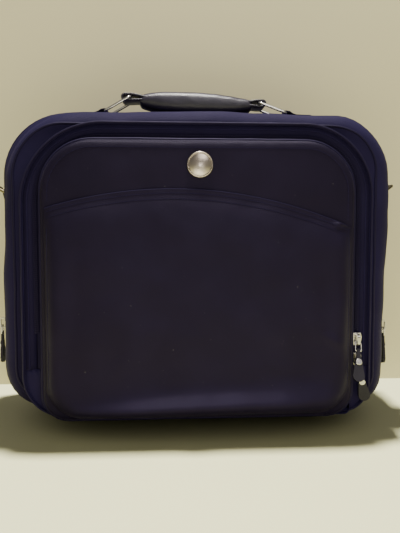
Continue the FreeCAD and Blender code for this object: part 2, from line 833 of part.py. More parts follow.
def slider():
    """Zip slider at the origin: it faces -Y, travels along Z, and y = 0 is the front of the tape."""
    plate_back = -bead_height - slider_clearance
    plate_front = plate_back - slider_plate
    half = slider_width / 2
    length = slider_length / 2
    narrow, waist, crown = half * 0.72, length * 0.35, half * 0.8
    corners = [(-narrow, -length), (narrow, -length), (half, waist), (crown, length), (-crown, length),
               (-half, waist)]
    ring = [V(x, plate_front, z) for x, z in corners]
    plate = Part.Face(Part.makePolygon(ring + ring[:1])).extrude(V(0, slider_plate, 0))
    plate = rounded(plate, slider_round, edge_at_y(plate_front))
    for side in (-1, 1):
        x0, x1 = sorted((side * (bead_width + zip_split / 2 + flange_clearance), side * narrow))
        reach = length - slider_round
        plate = plate.fuse(box(x0, x1, plate_back, -flange_lift, -reach, reach))
    front = plate_front - bail_reach
    back = front + bail_bar
    bail = box(-bail_half, bail_half, front, plate_front + bail_sink, -bail_length / 2, bail_length / 2)
    bail = rounded(bail, bail_outer_round, cross_edge_before(front))
    hole = box(-2 * bail_half, 2 * bail_half, back, plate_front - bail_sink, -bail_length / 2 + bail_bar,
               bail_length / 2 - bail_bar)
    hole = rounded(hole, bail_inner_round, cross_edge_before(back))
    return plate.fuse(bail.cut(hole)).removeSplitter()


def pull_metal():
    """Wire link through the slider's bail, and the round stud on the pull tab."""
    half = link_width / 2
    low = slider_hinge_z - link_length
    corners = [V(-half, slider_hinge_y, slider_hinge_z), V(half, slider_hinge_y, slider_hinge_z),
               V(half, slider_hinge_y, low), V(-half, slider_hinge_y, low)]
    link = wire_loop(corners, link_bend, link_radius)
    stud_y = slider_hinge_y - tab_thickness / 2 - stud_height
    stud = rod(V(0, stud_y, low - tab_length * stud_share), Y_AXIS, stud_radius, stud_height)
    return Part.makeCompound([link, rounded(stud, stud_round, edge_at_y(stud_y))])


def pull_tab():
    """Moulded tab, narrow at the link and round at its end."""
    y = slider_hinge_y - tab_thickness / 2
    eye_z = slider_hinge_z - link_length
    top = eye_z + tab_top_rise
    end_radius = tab_width / 2
    end_z = eye_z - tab_length + end_radius
    neck = tab_neck / 2
    crown = neck - tab_neck_taper
    shoulder_z = eye_z - tab_shoulder_drop
    edges = [
        line(-neck, shoulder_z, -crown, top, y),
        line(-crown, top, crown, top, y),
        line(crown, top, neck, shoulder_z, y),
        line(neck, shoulder_z, end_radius, end_z, y),
        arc(0, end_z, end_radius, 0, -180, y),
        line(-end_radius, end_z, -neck, shoulder_z, y),
    ]
    tab = Part.Face(Part.Wire(Part.__sortEdges__(edges))).extrude(V(0, tab_thickness, 0))
    eye = link_radius + eye_clearance
    y0, y1 = slider_hinge_y - eye, slider_hinge_y + eye
    return tab.cut(box(-tab_neck, tab_neck, y0, y1, eye_z - eye, eye_z + eye))


def main_slider_place(shape, side):
    """Puts a slider piece on the main zip, facing out of one side of the case."""
    placed = turned(shape, V(0, 0, 0), Z_AXIS, 90 if side > 0 else -90)
    return moved(placed, side * (half_width - tape_recess), main_zip_y, main_slider_heights[side])


def cover_slider_place(shape, z):
    """Puts a slider piece on the organiser's zip, at its right side."""
    return moved(shape, organiser_half - cover_zip_inset, organiser_y + tape_recess, z)


def hung(shape, lean, tilt):
    """Tilts a pull forwards on its slider, then leans it sideways."""
    pivot = V(0, slider_hinge_y, slider_hinge_z)
    return turned(turned(shape, pivot, X_AXIS, -tilt), pivot, Y_AXIS, lean)


# ---- organiser cover, slip pocket and badge ----
def cover_panel():
    """Front wall of the organiser: a padded panel with a rounded edge."""
    panel = organiser_slab(cover_inset, cover_y, organiser_y)
    above_foot = organiser_low + 2
    return rounded(panel, cover_round, lambda edge: edge_at_y(cover_y)(edge) and edge.BoundBox.ZMax > above_foot)


def cover_piping():
    """Piping round the edge of the cover."""
    y = cover_y + cover_piping_back
    outer = organiser_slab(cover_inset - piping_radius, y - piping_radius, y + piping_radius)
    y0, y1 = y - piping_radius - 1, y + piping_radius + 1
    piping = outer.cut(organiser_slab(cover_inset + piping_radius, y0, y1))
    return above(piping, cover_zip_end).cut(cover_panel())


def pocket_mouth():
    """Block above the arched mouth of the slip pocket."""
    half = cover_half - pocket_side_margin
    low = organiser_low + pocket_height
    radius = (half ** 2 + pocket_rise ** 2) / (2 * pocket_rise)
    below = rod(V(0, front_y - 1, low + pocket_rise - radius), Y_AXIS, radius, pocket_bulge + 2)
    return box(-2 * half, 2 * half, front_y - 1, cover_y + 1, low - 1, top_z).cut(below)


def pocket_slab(inset, y1, top):
    """Slab of the slip pocket's outline with a broad rounded front edge, up to a height."""
    y0 = front_y + inset
    half = cover_half - pocket_side_margin - inset
    low = organiser_low + pocket_low_gap + inset
    wire = outline(half, low, top, pocket_low_radius - inset, pocket_top_radius, y0)
    return rounded(slab(wire, y1 - y0), pocket_round - inset,
                   lambda edge: edge_at_y(y0)(edge) and edge.BoundBox.ZMin < top - pocket_top_radius - 1)


def pocket_panel():
    """Slip pocket on the cover: a crowned front with its own side wall, open at its arched top."""
    top = organiser_low + pocket_height + pocket_rise + pocket_top_radius + 2
    outer = pocket_slab(0, cover_y, top)
    room = pocket_slab(pocket_wall, cover_y + 1, top + pocket_round)
    return outer.cut(room).cut(pocket_mouth())


def badge_rim_ring():
    """Raised metal rim of the round badge."""
    start = V(0, cover_y - badge_height, badge_z)
    ring = rod(start, Y_AXIS, badge_radius, badge_height)
    return ring.cut(rod(start - Y_AXIS, Y_AXIS, badge_radius - badge_rim, badge_height + 2))


def badge_dome():
    """Plain domed disc inside the rim, turned from its profile."""
    radius = badge_radius - badge_rim
    shoulder_y = cover_y - badge_height + badge_sink
    crown = V(0, shoulder_y - badge_rise, badge_z)
    turn = math.atan2(badge_rise, radius)
    sphere = radius / math.sin(2 * turn)
    middle = V(sphere * math.sin(turn), shoulder_y - badge_rise + sphere * (1 - math.cos(turn)), badge_z)
    rim, back = V(radius, shoulder_y, badge_z), V(radius, cover_y, badge_z)
    edges = [
        Part.Arc(crown, middle, rim).toShape(),
        Part.LineSegment(rim, back).toShape(),
        Part.LineSegment(back, V(0, cover_y, badge_z)).toShape(),
        Part.LineSegment(V(0, cover_y, badge_z), crown).toShape(),
    ]
    return Part.Face(Part.Wire(edges)).revolve(V(0, cover_y, badge_z), Y_AXIS, 360)


def hinge_strip():
    """Fabric fold along the lower edge of the rear shell, where the lid turns."""
    return hinge_band(main_zip_y + zip_split / 2, shell_front_y)


def build():
    """Every piece, by node name."""
    tube_low = tube_top_z - stage_length
    pieces = {
        "rear_shell": rear_shell(),
        "back_board": back_board(),
        "back_pad": back_pad(),
        "laptop_sleeve": laptop_sleeve(),
        "base_tray": base_tray(),
        "foot_rail": foot_rail(),
        "kick_plate": kick_plate(),
        "base_screws": base_screws(),
        "wheel_axles": wheel_axles(),
        "hinge_strip": hinge_strip(),
        "main_zip_rear": main_zip(False),
        "main_zip_front": main_zip(True),
        "trolley_outer_tubes": tube_pair(0, tube_low, tube_top_z),
        "trolley_mid_tubes": tube_pair(1, tube_low + stage_step, bezel_floor_z),
        "trolley_inner_tubes": tube_pair(2, tube_low + 2 * stage_step, grip_low_z),
        "trolley_foot": trolley_foot(),
        "trolley_bezel": trolley_bezel(),
        "bezel_screws": bezel_screws(),
        "trolley_grip": trolley_grip(),
        "release_button": release_button(),
        "release_rods": release_rods(),
        "handle_anchors": handle_anchors(),
        "handle_straps": handle_straps(),
        "carry_grip": carry_grip(),
        "handle_rivets": handle_rivets(),
        "side_tabs": side_tabs(),
        "lid_panel": lid_panel(),
        "lid_piping": lid_piping(),
        "organiser_box": organiser_box(),
        "organiser_pockets": organiser_pockets(),
        "organiser_zip_outer": cover_zip(False),
        "organiser_zip_inner": cover_zip(True),
        "cover_panel": cover_panel(),
        "cover_piping": cover_piping(),
        "pocket_panel": pocket_panel(),
        "badge_rim": badge_rim_ring(),
        "badge_dome": badge_dome(),
    }
    for side, word in ((-1, "left"), (1, "right")):
        pieces["wheel_housing_" + word] = wheel_housing(side)
        pieces["wheel_hub_" + word] = wheel_hub(side)
        pieces["wheel_tyre_" + word] = wheel_tyre(side)
        pieces["handle_ring_" + word] = handle_ring(side)
        pieces["d_ring_" + word] = d_ring(side)
        pieces["main_slider_" + word] = main_slider_place(slider(), side)
        pieces["main_pull_metal_" + word] = main_slider_place(pull_metal(), side)
        pieces["main_pull_tab_" + word] = main_slider_place(pull_tab(), side)
    for word, z, lean, tilt in (("upper", upper_slider_z, upper_pull_lean, upper_pull_tilt),
                                ("lower", lower_slider_z, -lower_pull_lean, 0.0)):
        pieces["cover_slider_" + word] = cover_slider_place(slider(), z)
        pieces["cover_pull_metal_" + word] = cover_slider_place(hung(pull_metal(), lean, tilt), z)
        pieces["cover_pull_tab_" + word] = cover_slider_place(hung(pull_tab(), lean, tilt), z)
    return pieces


def main():
    """Builds and writes one STEP file per node."""
    os.makedirs("parts", exist_ok=True)
    for name, shape in sorted(build().items()):
        bounds = shape.BoundBox
        print(f"{name:24s} solids {len(shape.Solids)} valid {shape.isValid()} "
              f"volume {shape.Volume / 1000:8.2f} cm3 x {bounds.XMin:7.1f} {bounds.XMax:7.1f} "
              f"y {bounds.YMin:7.1f} {bounds.YMax:7.1f} z {bounds.ZMin:6.1f} {bounds.ZMax:6.1f}")
        shape.exportStep(f"parts/{name}.step")


main()
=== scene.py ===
# %% [markdown]
# # A rolling laptop case
# The case is soft: foam-backed nylon round a light frame, with two zipped compartments that open forwards,
# a padded carry handle on top, a telescoping handle at the back and two wheels. The fixed frame comes from
# the CAD part. Every piece made here sits in the space of its CAD solid, and all but the two hinge cloths
# move with their CAD body.

# %% The frame and its box
import json
import math

import bmesh
import bpy
from mathutils import Matrix, Vector, noise

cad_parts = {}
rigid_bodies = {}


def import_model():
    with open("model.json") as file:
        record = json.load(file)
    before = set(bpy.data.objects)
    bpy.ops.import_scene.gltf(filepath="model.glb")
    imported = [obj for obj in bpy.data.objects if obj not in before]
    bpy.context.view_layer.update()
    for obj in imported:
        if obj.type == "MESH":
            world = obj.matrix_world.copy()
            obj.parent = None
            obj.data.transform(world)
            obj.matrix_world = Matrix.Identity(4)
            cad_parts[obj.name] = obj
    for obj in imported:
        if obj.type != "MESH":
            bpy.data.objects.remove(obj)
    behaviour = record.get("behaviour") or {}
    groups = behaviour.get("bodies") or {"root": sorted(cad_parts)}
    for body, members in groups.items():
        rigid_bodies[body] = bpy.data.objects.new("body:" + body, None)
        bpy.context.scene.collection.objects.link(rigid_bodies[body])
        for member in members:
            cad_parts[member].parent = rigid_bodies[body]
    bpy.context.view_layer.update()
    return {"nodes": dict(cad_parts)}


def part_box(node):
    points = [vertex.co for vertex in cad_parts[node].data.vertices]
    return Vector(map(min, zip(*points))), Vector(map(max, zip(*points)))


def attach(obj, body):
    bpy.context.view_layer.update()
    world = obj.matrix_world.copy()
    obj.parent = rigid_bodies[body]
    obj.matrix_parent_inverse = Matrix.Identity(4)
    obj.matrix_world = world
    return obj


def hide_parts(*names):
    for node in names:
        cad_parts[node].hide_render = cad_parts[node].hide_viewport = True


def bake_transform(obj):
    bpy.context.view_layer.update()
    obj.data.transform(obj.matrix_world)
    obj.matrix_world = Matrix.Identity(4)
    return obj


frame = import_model()
MM = 0.001

# %% [markdown]
# ## The camera
# The eye is a little above the middle of the case and a little to its left, about 65 cm away, and looks
# down by four degrees.

# %% Camera
camera_data = bpy.data.cameras.new("camera")
camera_data.sensor_width = 36
camera_data.lens = 38
camera = bpy.data.objects.new("camera", camera_data)
bpy.context.scene.collection.objects.link(camera)
camera.location = (-0.034, -0.660, 0.215)
camera.rotation_euler = (math.radians(86.3), 0, math.radians(-3.35))
bpy.context.scene.camera = camera
print("camera at", tuple(round(value, 3) for value in camera.location))

# %% [markdown]
# ## Shader maths
# A finish is a small graph of nodes. Written as Python expressions it stays readable: a `Value` is one
# socket, and adding or multiplying values adds the Math nodes.


# %% Values
class Value:
    """One socket of a shader graph that takes Python's operators."""

    def __init__(self, finish, socket):
        self.finish = finish
        self.socket = socket

    def maths(self, operation, *inputs):
        return self.finish.node("ShaderNodeMath", {"operation": operation}, inputs)

    def __add__(self, other):
        return self.maths("ADD", self, other)

    def __radd__(self, other):
        return self.maths("ADD", other, self)

    def __mul__(self, other):
        return self.maths("MULTIPLY", self, other)

    def __rmul__(self, other):
        return self.maths("MULTIPLY", other, self)

    def wave(self):
        return self.maths("SINE", self)

    def limited(self, low, high):
        """0 below low and 1 above high, with a smooth step between."""
        bounds = {"Value": self, "From Min": low, "From Max": high}
        return self.finish.node("ShaderNodeMapRange", {"interpolation_type": "SMOOTHSTEP"}, bounds)


# %% Finishes
class Finish:
    """A material with one shader. Fixed numbers are set on the shader's own sockets."""

    def __init__(self, name, **fixed):
        self.material = bpy.data.materials.new(name)
        self.material.use_nodes = True
        self.tree = self.material.node_tree
        self.shader = self.tree.nodes["Principled BSDF"]
        for socket, value in fixed.items():
            self.shader.inputs[socket.replace("_", " ")].default_value = value
        self.place = self.node("ShaderNodeTexCoord", output="Object")
        self.x, self.y, self.z = (self.node("ShaderNodeSeparateXYZ", inputs=[self.place], output=i)
                                  for i in range(3))

    def node(self, kind, settings=None, inputs=(), output=0):
        """Adds a node of a type, with its settings and the values or links of its sockets."""
        made = self.tree.nodes.new(kind)
        for key, value in (settings or {}).items():
            setattr(made, key, value)
        for key, value in inputs.items() if isinstance(inputs, dict) else enumerate(inputs):
            if isinstance(value, Value):
                self.tree.links.new(value.socket, made.inputs[key])
            else:
                made.inputs[key].default_value = value
        return Value(self, made.outputs[output])

    def cloud(self, size, detail=2.0):
        """Soft noise with features of about a size in millimetres."""
        inputs = {"Vector": self.place, "Scale": 1 / (size * MM), "Detail": detail}
        return self.node("ShaderNodeTexNoise", inputs=inputs)

    def mixed(self, factor, first, second):
        """Blend of two colours."""
        return self.node("ShaderNodeMix", {"data_type": "RGBA"}, {0: factor, 6: first, 7: second}, output=2)

    def drives(self, socket, value):
        self.tree.links.new(value.socket, self.shader.inputs[socket])

    def relief(self, height, depth):
        """Bump from a height of 0 to 1 that stands for a depth in millimetres."""
        self.drives("Normal", self.node("ShaderNodeBump", inputs={"Distance": depth * MM, "Height": height}))


def grey(level, tint=(1, 1, 1)):
    """A dark or light colour of a level, with a tint."""
    return (level * tint[0], level * tint[1], level * tint[2], 1)


# %% [markdown]
# ## Cloth finishes
# Case nylon is a close plain weave: threads go over and under each other about once a millimetre, so its
# relief is a product of two sine waves. It's nearly black with a violet cast, worn a little paler in
# patches, with a faint sheen. The front panel has caught a few specks of lint. Lining, tape and webbing are
# the same idea with other sizes.

# %% Cloth
NIGHT = (1.02, 0.78, 3.2)
PLUM = (1.1, 0.8, 2.3)
VIOLET = (0.72, 0.6, 1.0, 1)
TURN = 2 * math.pi


def cloth(name, level, tint, pitch, depth, rough, sheen, dust=0.0):
    """Woven cloth with a thread pitch in millimetres."""
    made = Finish(name, Sheen_Weight=sheen, Sheen_Roughness=0.45, Specular_IOR_Level=0.12,
                  Specular_Tint=VIOLET, Sheen_Tint=VIOLET)
    across = ((made.x + made.y) * (TURN / (pitch * MM))).wave()
    along = ((made.z + made.y) * (TURN / (pitch * MM))).wave()
    weave = across * along * 0.5 + 0.5
    patch = made.cloud(46).limited(0.35, 0.7)
    fleck = made.cloud(1.6, 0).limited(0.885, 0.91) * dust
    colour = made.mixed(patch, grey(level, tint), grey(level * 1.2, tint))
    colour = made.mixed(weave * 0.35, colour, grey(level * 0.55, tint))
    made.drives("Base Color", made.mixed(fleck, colour, grey(0.16)))
    made.drives("Roughness", made.cloud(30) * 0.16 + (rough - 0.08))
    made.relief(weave * 0.8 + made.cloud(5) * 0.5, depth)
    return made


shell_nylon = cloth("shell_nylon", 0.0115, NIGHT, 1.1, 0.16, 0.6, 0.03)
panel_nylon = cloth("panel_nylon", 0.0070, PLUM, 1.0, 0.14, 0.44, 0.02, 0.5)
lining_cloth = cloth("lining_cloth", 0.03, (1, 1, 1.12), 0.6, 0.05, 0.5, 0.05)
zip_tape = cloth("zip_tape", 0.0075, NIGHT, 1.6, 0.2, 0.65, 0.02)
strap_webbing = cloth("strap_webbing", 0.010, NIGHT, 2.2, 0.4, 0.7, 0.04)
thread = cloth("thread", 0.011, NIGHT, 0.5, 0.1, 0.6, 0.0)
print("cloth finishes:", len(bpy.data.materials))

# %% [markdown]
# ## Leatherette, plastics and metals
# The carry grip is grained leatherette with a satin shine. The mouldings are matt plastic with a fine
# spark-eroded grain. The rings, sliders and badge are chromed, with faint smears that vary the roughness.
# The D-rings' chrome is painted nearly black: a painted shade for the shadow they sit in.


# %% Hard finishes
def grained(name, level, tint, grain, depth, rough, wear=0.0, **fixed):
    """Moulded plastic or leatherette with a grain size in millimetres."""
    made = Finish(name, **fixed)
    cells = made.node("ShaderNodeTexVoronoi", {"feature": "DISTANCE_TO_EDGE"},
                      {"Vector": made.place, "Scale": 1 / (grain * MM)})
    pebble = cells.limited(0.0, 0.4)
    scuff = made.cloud(9, 4).limited(0.55, 0.8) * wear
    made.drives("Base Color", made.mixed(scuff, grey(level, tint), grey(level * 2.6, tint)))
    made.drives("Roughness", made.cloud(14) * 0.2 + scuff * 0.2 + (rough - 0.1))
    made.relief(pebble, depth)
    return made


def metal(name, colour, rough, smear=0.1, **fixed):
    """Bright or satin metal with smears."""
    made = Finish(name, Metallic=1.0, **fixed)
    tarnish = made.cloud(6, 4).limited(0.5, 0.85)
    dull = [channel * 0.72 for channel in colour]
    made.drives("Base Color", made.mixed(tarnish, (*colour, 1), (*dull, 1)))
    made.drives("Roughness", tarnish * smear + made.cloud(1.5, 1) * 0.05 + rough)
    return made


SATIN = {"Specular_IOR_Level": 0.2, "Specular_Tint": VIOLET}
leatherette = grained("leatherette", 0.017, (1.05, 0.85, 1.9), 1.4, 0.08, 0.36, 0.15)
piping_vinyl = grained("piping_vinyl", 0.007, NIGHT, 0.8, 0.05, 0.55, **SATIN)
coil_nylon = grained("coil_nylon", 0.007, NIGHT, 0.6, 0.02, 0.5, **SATIN)
moulding = grained("moulding", 0.012, (1, 1, 1.1), 0.7, 0.08, 0.55, 0.4)
hub_plastic = grained("hub_plastic", 0.03, (1, 1, 1.05), 0.7, 0.06, 0.5, 0.3)
tread_rubber = grained("tread_rubber", 0.018, (1, 1, 1), 0.9, 0.1, 0.75, 0.6)
grip_plastic = grained("grip_plastic", 0.018, (1, 1, 1.05), 0.6, 0.05, 0.45, 0.2)
tab_rubber = grained("tab_rubber", 0.009, (1.1, 0.9, 1.7), 0.8, 0.05, 0.5, 0.25, Specular_IOR_Level=0.3)
board_sheet = grained("board_sheet", 0.03, (1, 1, 1), 1.2, 0.05, 0.6)
chrome = metal("chrome", (0.80, 0.79, 0.77), 0.10)
badge_chrome = metal("badge_chrome", (0.40, 0.35, 0.31), 0.26, 0.12)
slider_plate = metal("slider_plate", (0.5, 0.48, 0.47), 0.22, 0.2)
# The D-rings' chrome, painted nearly black: painted shade for chrome in shadow, not a bronze finish.
painted_shade_chrome = metal("painted_shade_chrome", (0.14, 0.12, 0.07), 0.35)
anodised = metal("anodised", (0.55, 0.56, 0.58), 0.32)
drawn_steel = metal("drawn_steel", (0.42, 0.42, 0.43), 0.3)
plated = metal("plated", (0.3, 0.3, 0.31), 0.3)
print("finishes so far:", len(bpy.data.materials))

# %% [markdown]
# ## Room and light
# A pale bench with a plain wall close behind it. The wall is there for the camera alone, and only on its
# front, so that it neither shades the case nor hides it from behind. A small lamp above and behind the case
# lights the bench alone and throws the shadow forwards. Light linking keeps the other lamps for the case
# and the wall: one above in front picks out the belly of the pocket, and weak ones open the dark cloth and
# put a glint on the badge.

# %% Stage
WALL_Y = 0.128
ROOM_SIZE = 3.0
UPRIGHT = Matrix.Rotation(math.radians(90), 4, "X")


def backdrop(name, colour, rough, matrix):
    """Flat sheet of the room."""
    bm = bmesh.new()
    bmesh.ops.create_grid(bm, x_segments=1, y_segments=1, size=ROOM_SIZE, matrix=matrix)
    mesh = bpy.data.meshes.new(name)
    bm.to_mesh(mesh)
    bm.free()
    made = bpy.data.objects.new(name, mesh)
    bpy.context.scene.collection.objects.link(made)
    finish = Finish(name, Specular_IOR_Level=0.2)
    darker = [channel * 0.95 for channel in colour]
    finish.drives("Base Color", finish.mixed(finish.cloud(180), (*colour, 1), (*darker, 1)))
    finish.drives("Roughness", finish.cloud(40) * 0.1 + rough)
    mesh.materials.append(finish.material)
    return made, finish


bench, _ = backdrop("bench", (0.72, 0.725, 0.42), 0.5, Matrix.Identity(4))
wall, wall_finish = backdrop("wall", (0.61, 0.565, 0.37), 0.8, Matrix.Translation((0, WALL_Y, 2.9)) @ UPRIGHT)
for ray in ("shadow", "diffuse", "glossy", "transmission"):
    setattr(wall, "visible_" + ray, False)
clear = wall_finish.node("ShaderNodeBsdfTransparent")
behind = wall_finish.node("ShaderNodeNewGeometry", output="Backfacing")
painted = Value(wall_finish, wall_finish.shader.outputs[0])
shown = wall_finish.node("ShaderNodeMixShader", inputs=[behind, painted, clear])
wall_finish.tree.links.new(shown.socket, wall_finish.tree.nodes["Material Output"].inputs["Surface"])
print("stage: bench and wall")

# %% Lamps
LAMP_COLOUR = (1, 0.96, 0.88)
world = bpy.data.worlds.new("room")
bpy.context.scene.world = world
world.use_nodes = True
sky = world.node_tree.nodes["Background"].inputs
sky["Color"].default_value = (1.0, 0.94, 0.82, 1)
sky["Strength"].default_value = 0.25
case_and_wall = bpy.data.collections.new("case_and_wall")
bench_alone = bpy.data.collections.new("bench_alone")
bench_alone.objects.link(bench)


def lamp(name, place, target, size, power, receivers):
    """Soft square lamp that faces a target and lights a collection of receivers."""
    data = bpy.data.lights.new(name, "AREA")
    data.size = size
    data.energy = power
    data.color = LAMP_COLOUR
    made = bpy.data.objects.new(name, data)
    made.location = place
    made.rotation_euler = (Vector(target) - Vector(place)).to_track_quat("-Z", "Y").to_euler()
    made.light_linking.receiver_collection = receivers
    bpy.context.scene.collection.objects.link(made)


lamp("ceiling", (0.03, 0.2, 1.9), (0, 0, 0.2), 0.12, 120, bench_alone)
lamp("front_ceiling", (0.03, -0.125, 1.9), (0, 0, 0.2), 0.22, 60, case_and_wall)
lamp("window", (0.45, -1.5, 1.5), (0, 0, 0.15), 0.9, 11, case_and_wall)
lamp("bounce", (0, -0.5, 0.02), (0, -0.05, 0.05), 0.3, 1.0, case_and_wall)
lamp("spark", (0.06, -0.72, 0.33), (0, -0.08, 0.28), 0.05, 0.3, case_and_wall)
print("lamps:", len(bpy.data.lights))

# %% [markdown]
# ## Outlines and lofts
# Nearly every panel of the case follows a rounded rectangle. `Outline` starts as one grid face whose four
# corners are bevelled. Lengths here are millimetres.


# %% Outline
class Outline:
    """A rounded rectangle seen from the front."""

    def __init__(self, half, low, high, low_radius, top_radius, low_right=None, top_left=None):
        self.half, self.low, self.high = half, low, high
        self.low_radius, self.top_radius = low_radius, top_radius
        self.low_right, self.top_left = low_right or low_radius, top_left or top_radius

    def radius(self, x, z):
        """Radius of the corner nearest to a point. Soft corners slump, so left and right may differ."""
        if z < (self.low + self.high) / 2:
            return self.low_radius if x < 0 else self.low_right
        return self.top_left if x < 0 else self.top_radius

    def hub(self, x, z):
        """The centre that a point of the edge turns round."""
        radius = self.radius(x, z)
        reach = self.half - radius
        return (max(-reach, min(reach, x)), max(self.low + radius, min(self.high - radius, z)))

    def outward(self, x, z):
        """Direction away from the edge."""
        hub_x, hub_z = self.hub(x, z)
        return Vector((x - hub_x, 0, z - hub_z)).normalized()

    def depth(self, x, z):
        """How far a point lies inside the edge."""
        hub_x, hub_z = self.hub(x, z)
        if (hub_x, hub_z) == (x, z):
            return min(self.half - abs(x), z - self.low, self.high - z)
        return self.radius(x, z) - math.hypot(x - hub_x, z - hub_z)

    def face(self, y, inset, step):
        """Mesh with one face, whose edge has a point about every step."""
        bm = bmesh.new()
        bmesh.ops.create_grid(bm, x_segments=1, y_segments=1, size=1, matrix=UPRIGHT)
        half, low, high = self.half - inset, self.low + inset, self.high - inset
        for v in bm.verts:
            v.co = (math.copysign(half, v.co.x), y, high if v.co.z > 0 else low)
        for corner in bm.verts[:]:
            radius = self.radius(corner.co.x, corner.co.z) - inset
            bmesh.ops.bevel(bm, geom=[corner], offset=radius, segments=max(4, int(radius * 1.6 / step)),
                            affect="VERTICES", profile=0.5, material=-1)
        for edge in [e for e in bm.edges if e.calc_length() > 3 * step]:
            bmesh.ops.subdivide_edges(bm, edges=[edge], cuts=int(edge.calc_length() / step))
        return bm

    def walk(self, inset, pitch):
        """Points about every pitch along the edge, as x, z and the outward direction."""
        bm = self.face(0, inset, 6)
        ring = [loop.vert.co.copy() for loop in bm.faces[:][0].loops]
        bm.free()
        places = []
        spare = 0.0
        for index, start in enumerate(ring):
            run = ring[(index + 1) % len(ring)] - start
            while spare < run.length:
                x, _, z = start + run * (spare / run.length)
                places.append((x, z, self.outward(x, z)))
                spare += pitch
            spare -= run.length
        return places


BODY = Outline(215, 15, 345, 46, 64, 32, 71)
print("outline of the body:", len(BODY.walk(0, 10)), "points at 10 mm")

# %% [markdown]
# ## Lofts
# `loft` extrudes the edge of an outline through stations. A station is a depth y and an inset, and a third
# number scales the ring towards the middle, for crowned fronts. Extruding keeps the rings joined, so no
# list of faces is needed.


# %% Loft
def new_verts(made):
    """Points that an operator has added."""
    return [item for item in made["geom"] if isinstance(item, bmesh.types.BMVert)]


def edges_among(bm, verts):
    """Edges with both ends among some points."""
    return [e for e in bm.edges if e.verts[0] in verts and e.verts[1] in verts]


def open_edges(bm):
    """Edges with a face on one side only."""
    return [e for e in bm.edges if e.is_boundary]


def everything(bm):
    return bm.verts[:] + bm.edges[:] + bm.faces[:]


def loft(outline, stations, front=False, back=False, step=9):
    """Shell that takes the outline through stations, closed in front or behind where asked."""
    bm = outline.face(stations[0][0], stations[0][1], step)
    ring = bm.edges[:]
    if not front:
        bmesh.ops.delete(bm, geom=bm.faces[:], context="FACES_ONLY")
    middle = Vector((0, 0, (outline.low + outline.high) / 2))
    for before, (y, inset, *scale) in zip(stations, stations[1:]):
        fresh = set(new_verts(bmesh.ops.extrude_edge_only(bm, edges=ring)))
        ring = edges_among(bm, fresh)
        shrink = (scale[0] if scale else 1) / (before[2] if len(before) > 2 else 1)
        for v in fresh:
            v.co += outline.outward(v.co.x, v.co.z) * (before[1] - inset) if shrink == 1 else Vector()
            v.co = middle + (v.co - middle) * shrink
            v.co.y = y
    if back:
        bmesh.ops.contextual_create(bm, geom=ring)
    return bm


def recalc(bm):
    """Turns the faces of a closed shell outwards."""
    bmesh.ops.recalc_face_normals(bm, faces=bm.faces)


def facing_out(bm):
    """Turns the faces of an open shell away from its middle."""
    recalc(bm)
    middle = sum((v.co for v in bm.verts), Vector()) / len(bm.verts)
    lean = sum(f.normal.dot(f.calc_center_median() - middle) * f.calc_area() for f in bm.faces)
    if lean < 0:
        bmesh.ops.reverse_faces(bm, faces=bm.faces)


# %% [markdown]
# ## Cuts
# Zips end above the lower corners and wheels sit in openings of the shell. A plane cut leaves clean edges
# there, where a boolean on an open shell would be less sure.


# %% Cuts
def cut(bm, height, keep):
    """Cuts the mesh level at a height and keeps the part above (1) or below (-1)."""
    bmesh.ops.bisect_plane(bm, geom=everything(bm), plane_co=Vector((0, 0, height)),
                           plane_no=Vector((0, 0, -keep)), clear_outer=True)


def window(bm, low, high):
    """Cuts a hole of a box's size, with clean edges."""
    for axis in range(3):
        normal = Vector((axis == 0, axis == 1, axis == 2))
        for place in (low, high):
            bmesh.ops.bisect_plane(bm, geom=everything(bm), plane_co=place, plane_no=normal)
    inside = []
    for f in bm.faces:
        middle = f.calc_center_median()
        if all(low[i] < middle[i] < high[i] for i in range(3)):
            inside.append(f)
    bmesh.ops.delete(bm, geom=inside, context="FACES")


# %% [markdown]
# ## Pieces
# Every piece is finished in one place: its mesh is brought to metres, its sharp edges are marked, it gets a
# wall where it's a shell, it's put on the body it rides on, and the CAD nodes it stands for are hidden.


# %% Pieces
def piece(name, bm, finish, body, nodes=(), wall=0.0, lining=None, sharp=50):
    """Object made of a mesh in millimetres, with its finish, its body and the CAD nodes it stands for."""
    bmesh.ops.scale(bm, vec=(MM, MM, MM), verts=bm.verts)
    for e in bm.edges:
        e.smooth = e.calc_face_angle(0) < math.radians(sharp)
    for f in bm.faces:
        f.smooth = True
    mesh = bpy.data.meshes.new(name)
    bm.to_mesh(mesh)
    bm.free()
    made = bpy.data.objects.new(name, mesh)
    bpy.context.scene.collection.objects.link(made)
    mesh.materials.append(finish.material)
    if wall:
        solid = made.modifiers.new("wall", "SOLIDIFY")
        solid.thickness = wall * MM
        solid.offset = -1
        if lining:
            mesh.materials.append(lining.material)
            solid.material_offset = 1
    if body:
        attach(made, body)
    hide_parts(*nodes)
    print(f"{name}: {len(mesh.polygons)} faces")
    return made


def pucker(point, size, amount):
    """Uneven cloth: a smooth wander of an amount, with waves of about a size."""
    return noise.noise(Vector(point) / size) * amount


# %% [markdown]
# ## The rear compartment
# A foam-backed gusset wraps the sides. It bows outwards in the middle of its height and depth, where the
# load pushes and nothing but piping holds it, and the webbing of the shoulder ring pulls a dimple in it.
# One outline is lofted from the zip to the rounded back edge, and then each point is pushed along its
# outward direction.

# %% Rear shell
BACK_Y = 90
BACK_ROUND = 8
SHELL_FRONT_Y = -7
LID_BACK_Y = -17
LID_Y = -36
WALL_THICKNESS = 3.0
ZIP_END_Z = 69
D_RING_Y = 12


def hump(x):
    """Rise of the top below the carry handle, in millimetres."""
    return 0.4 + 4.6 * math.exp(-(x / 72) ** 2)


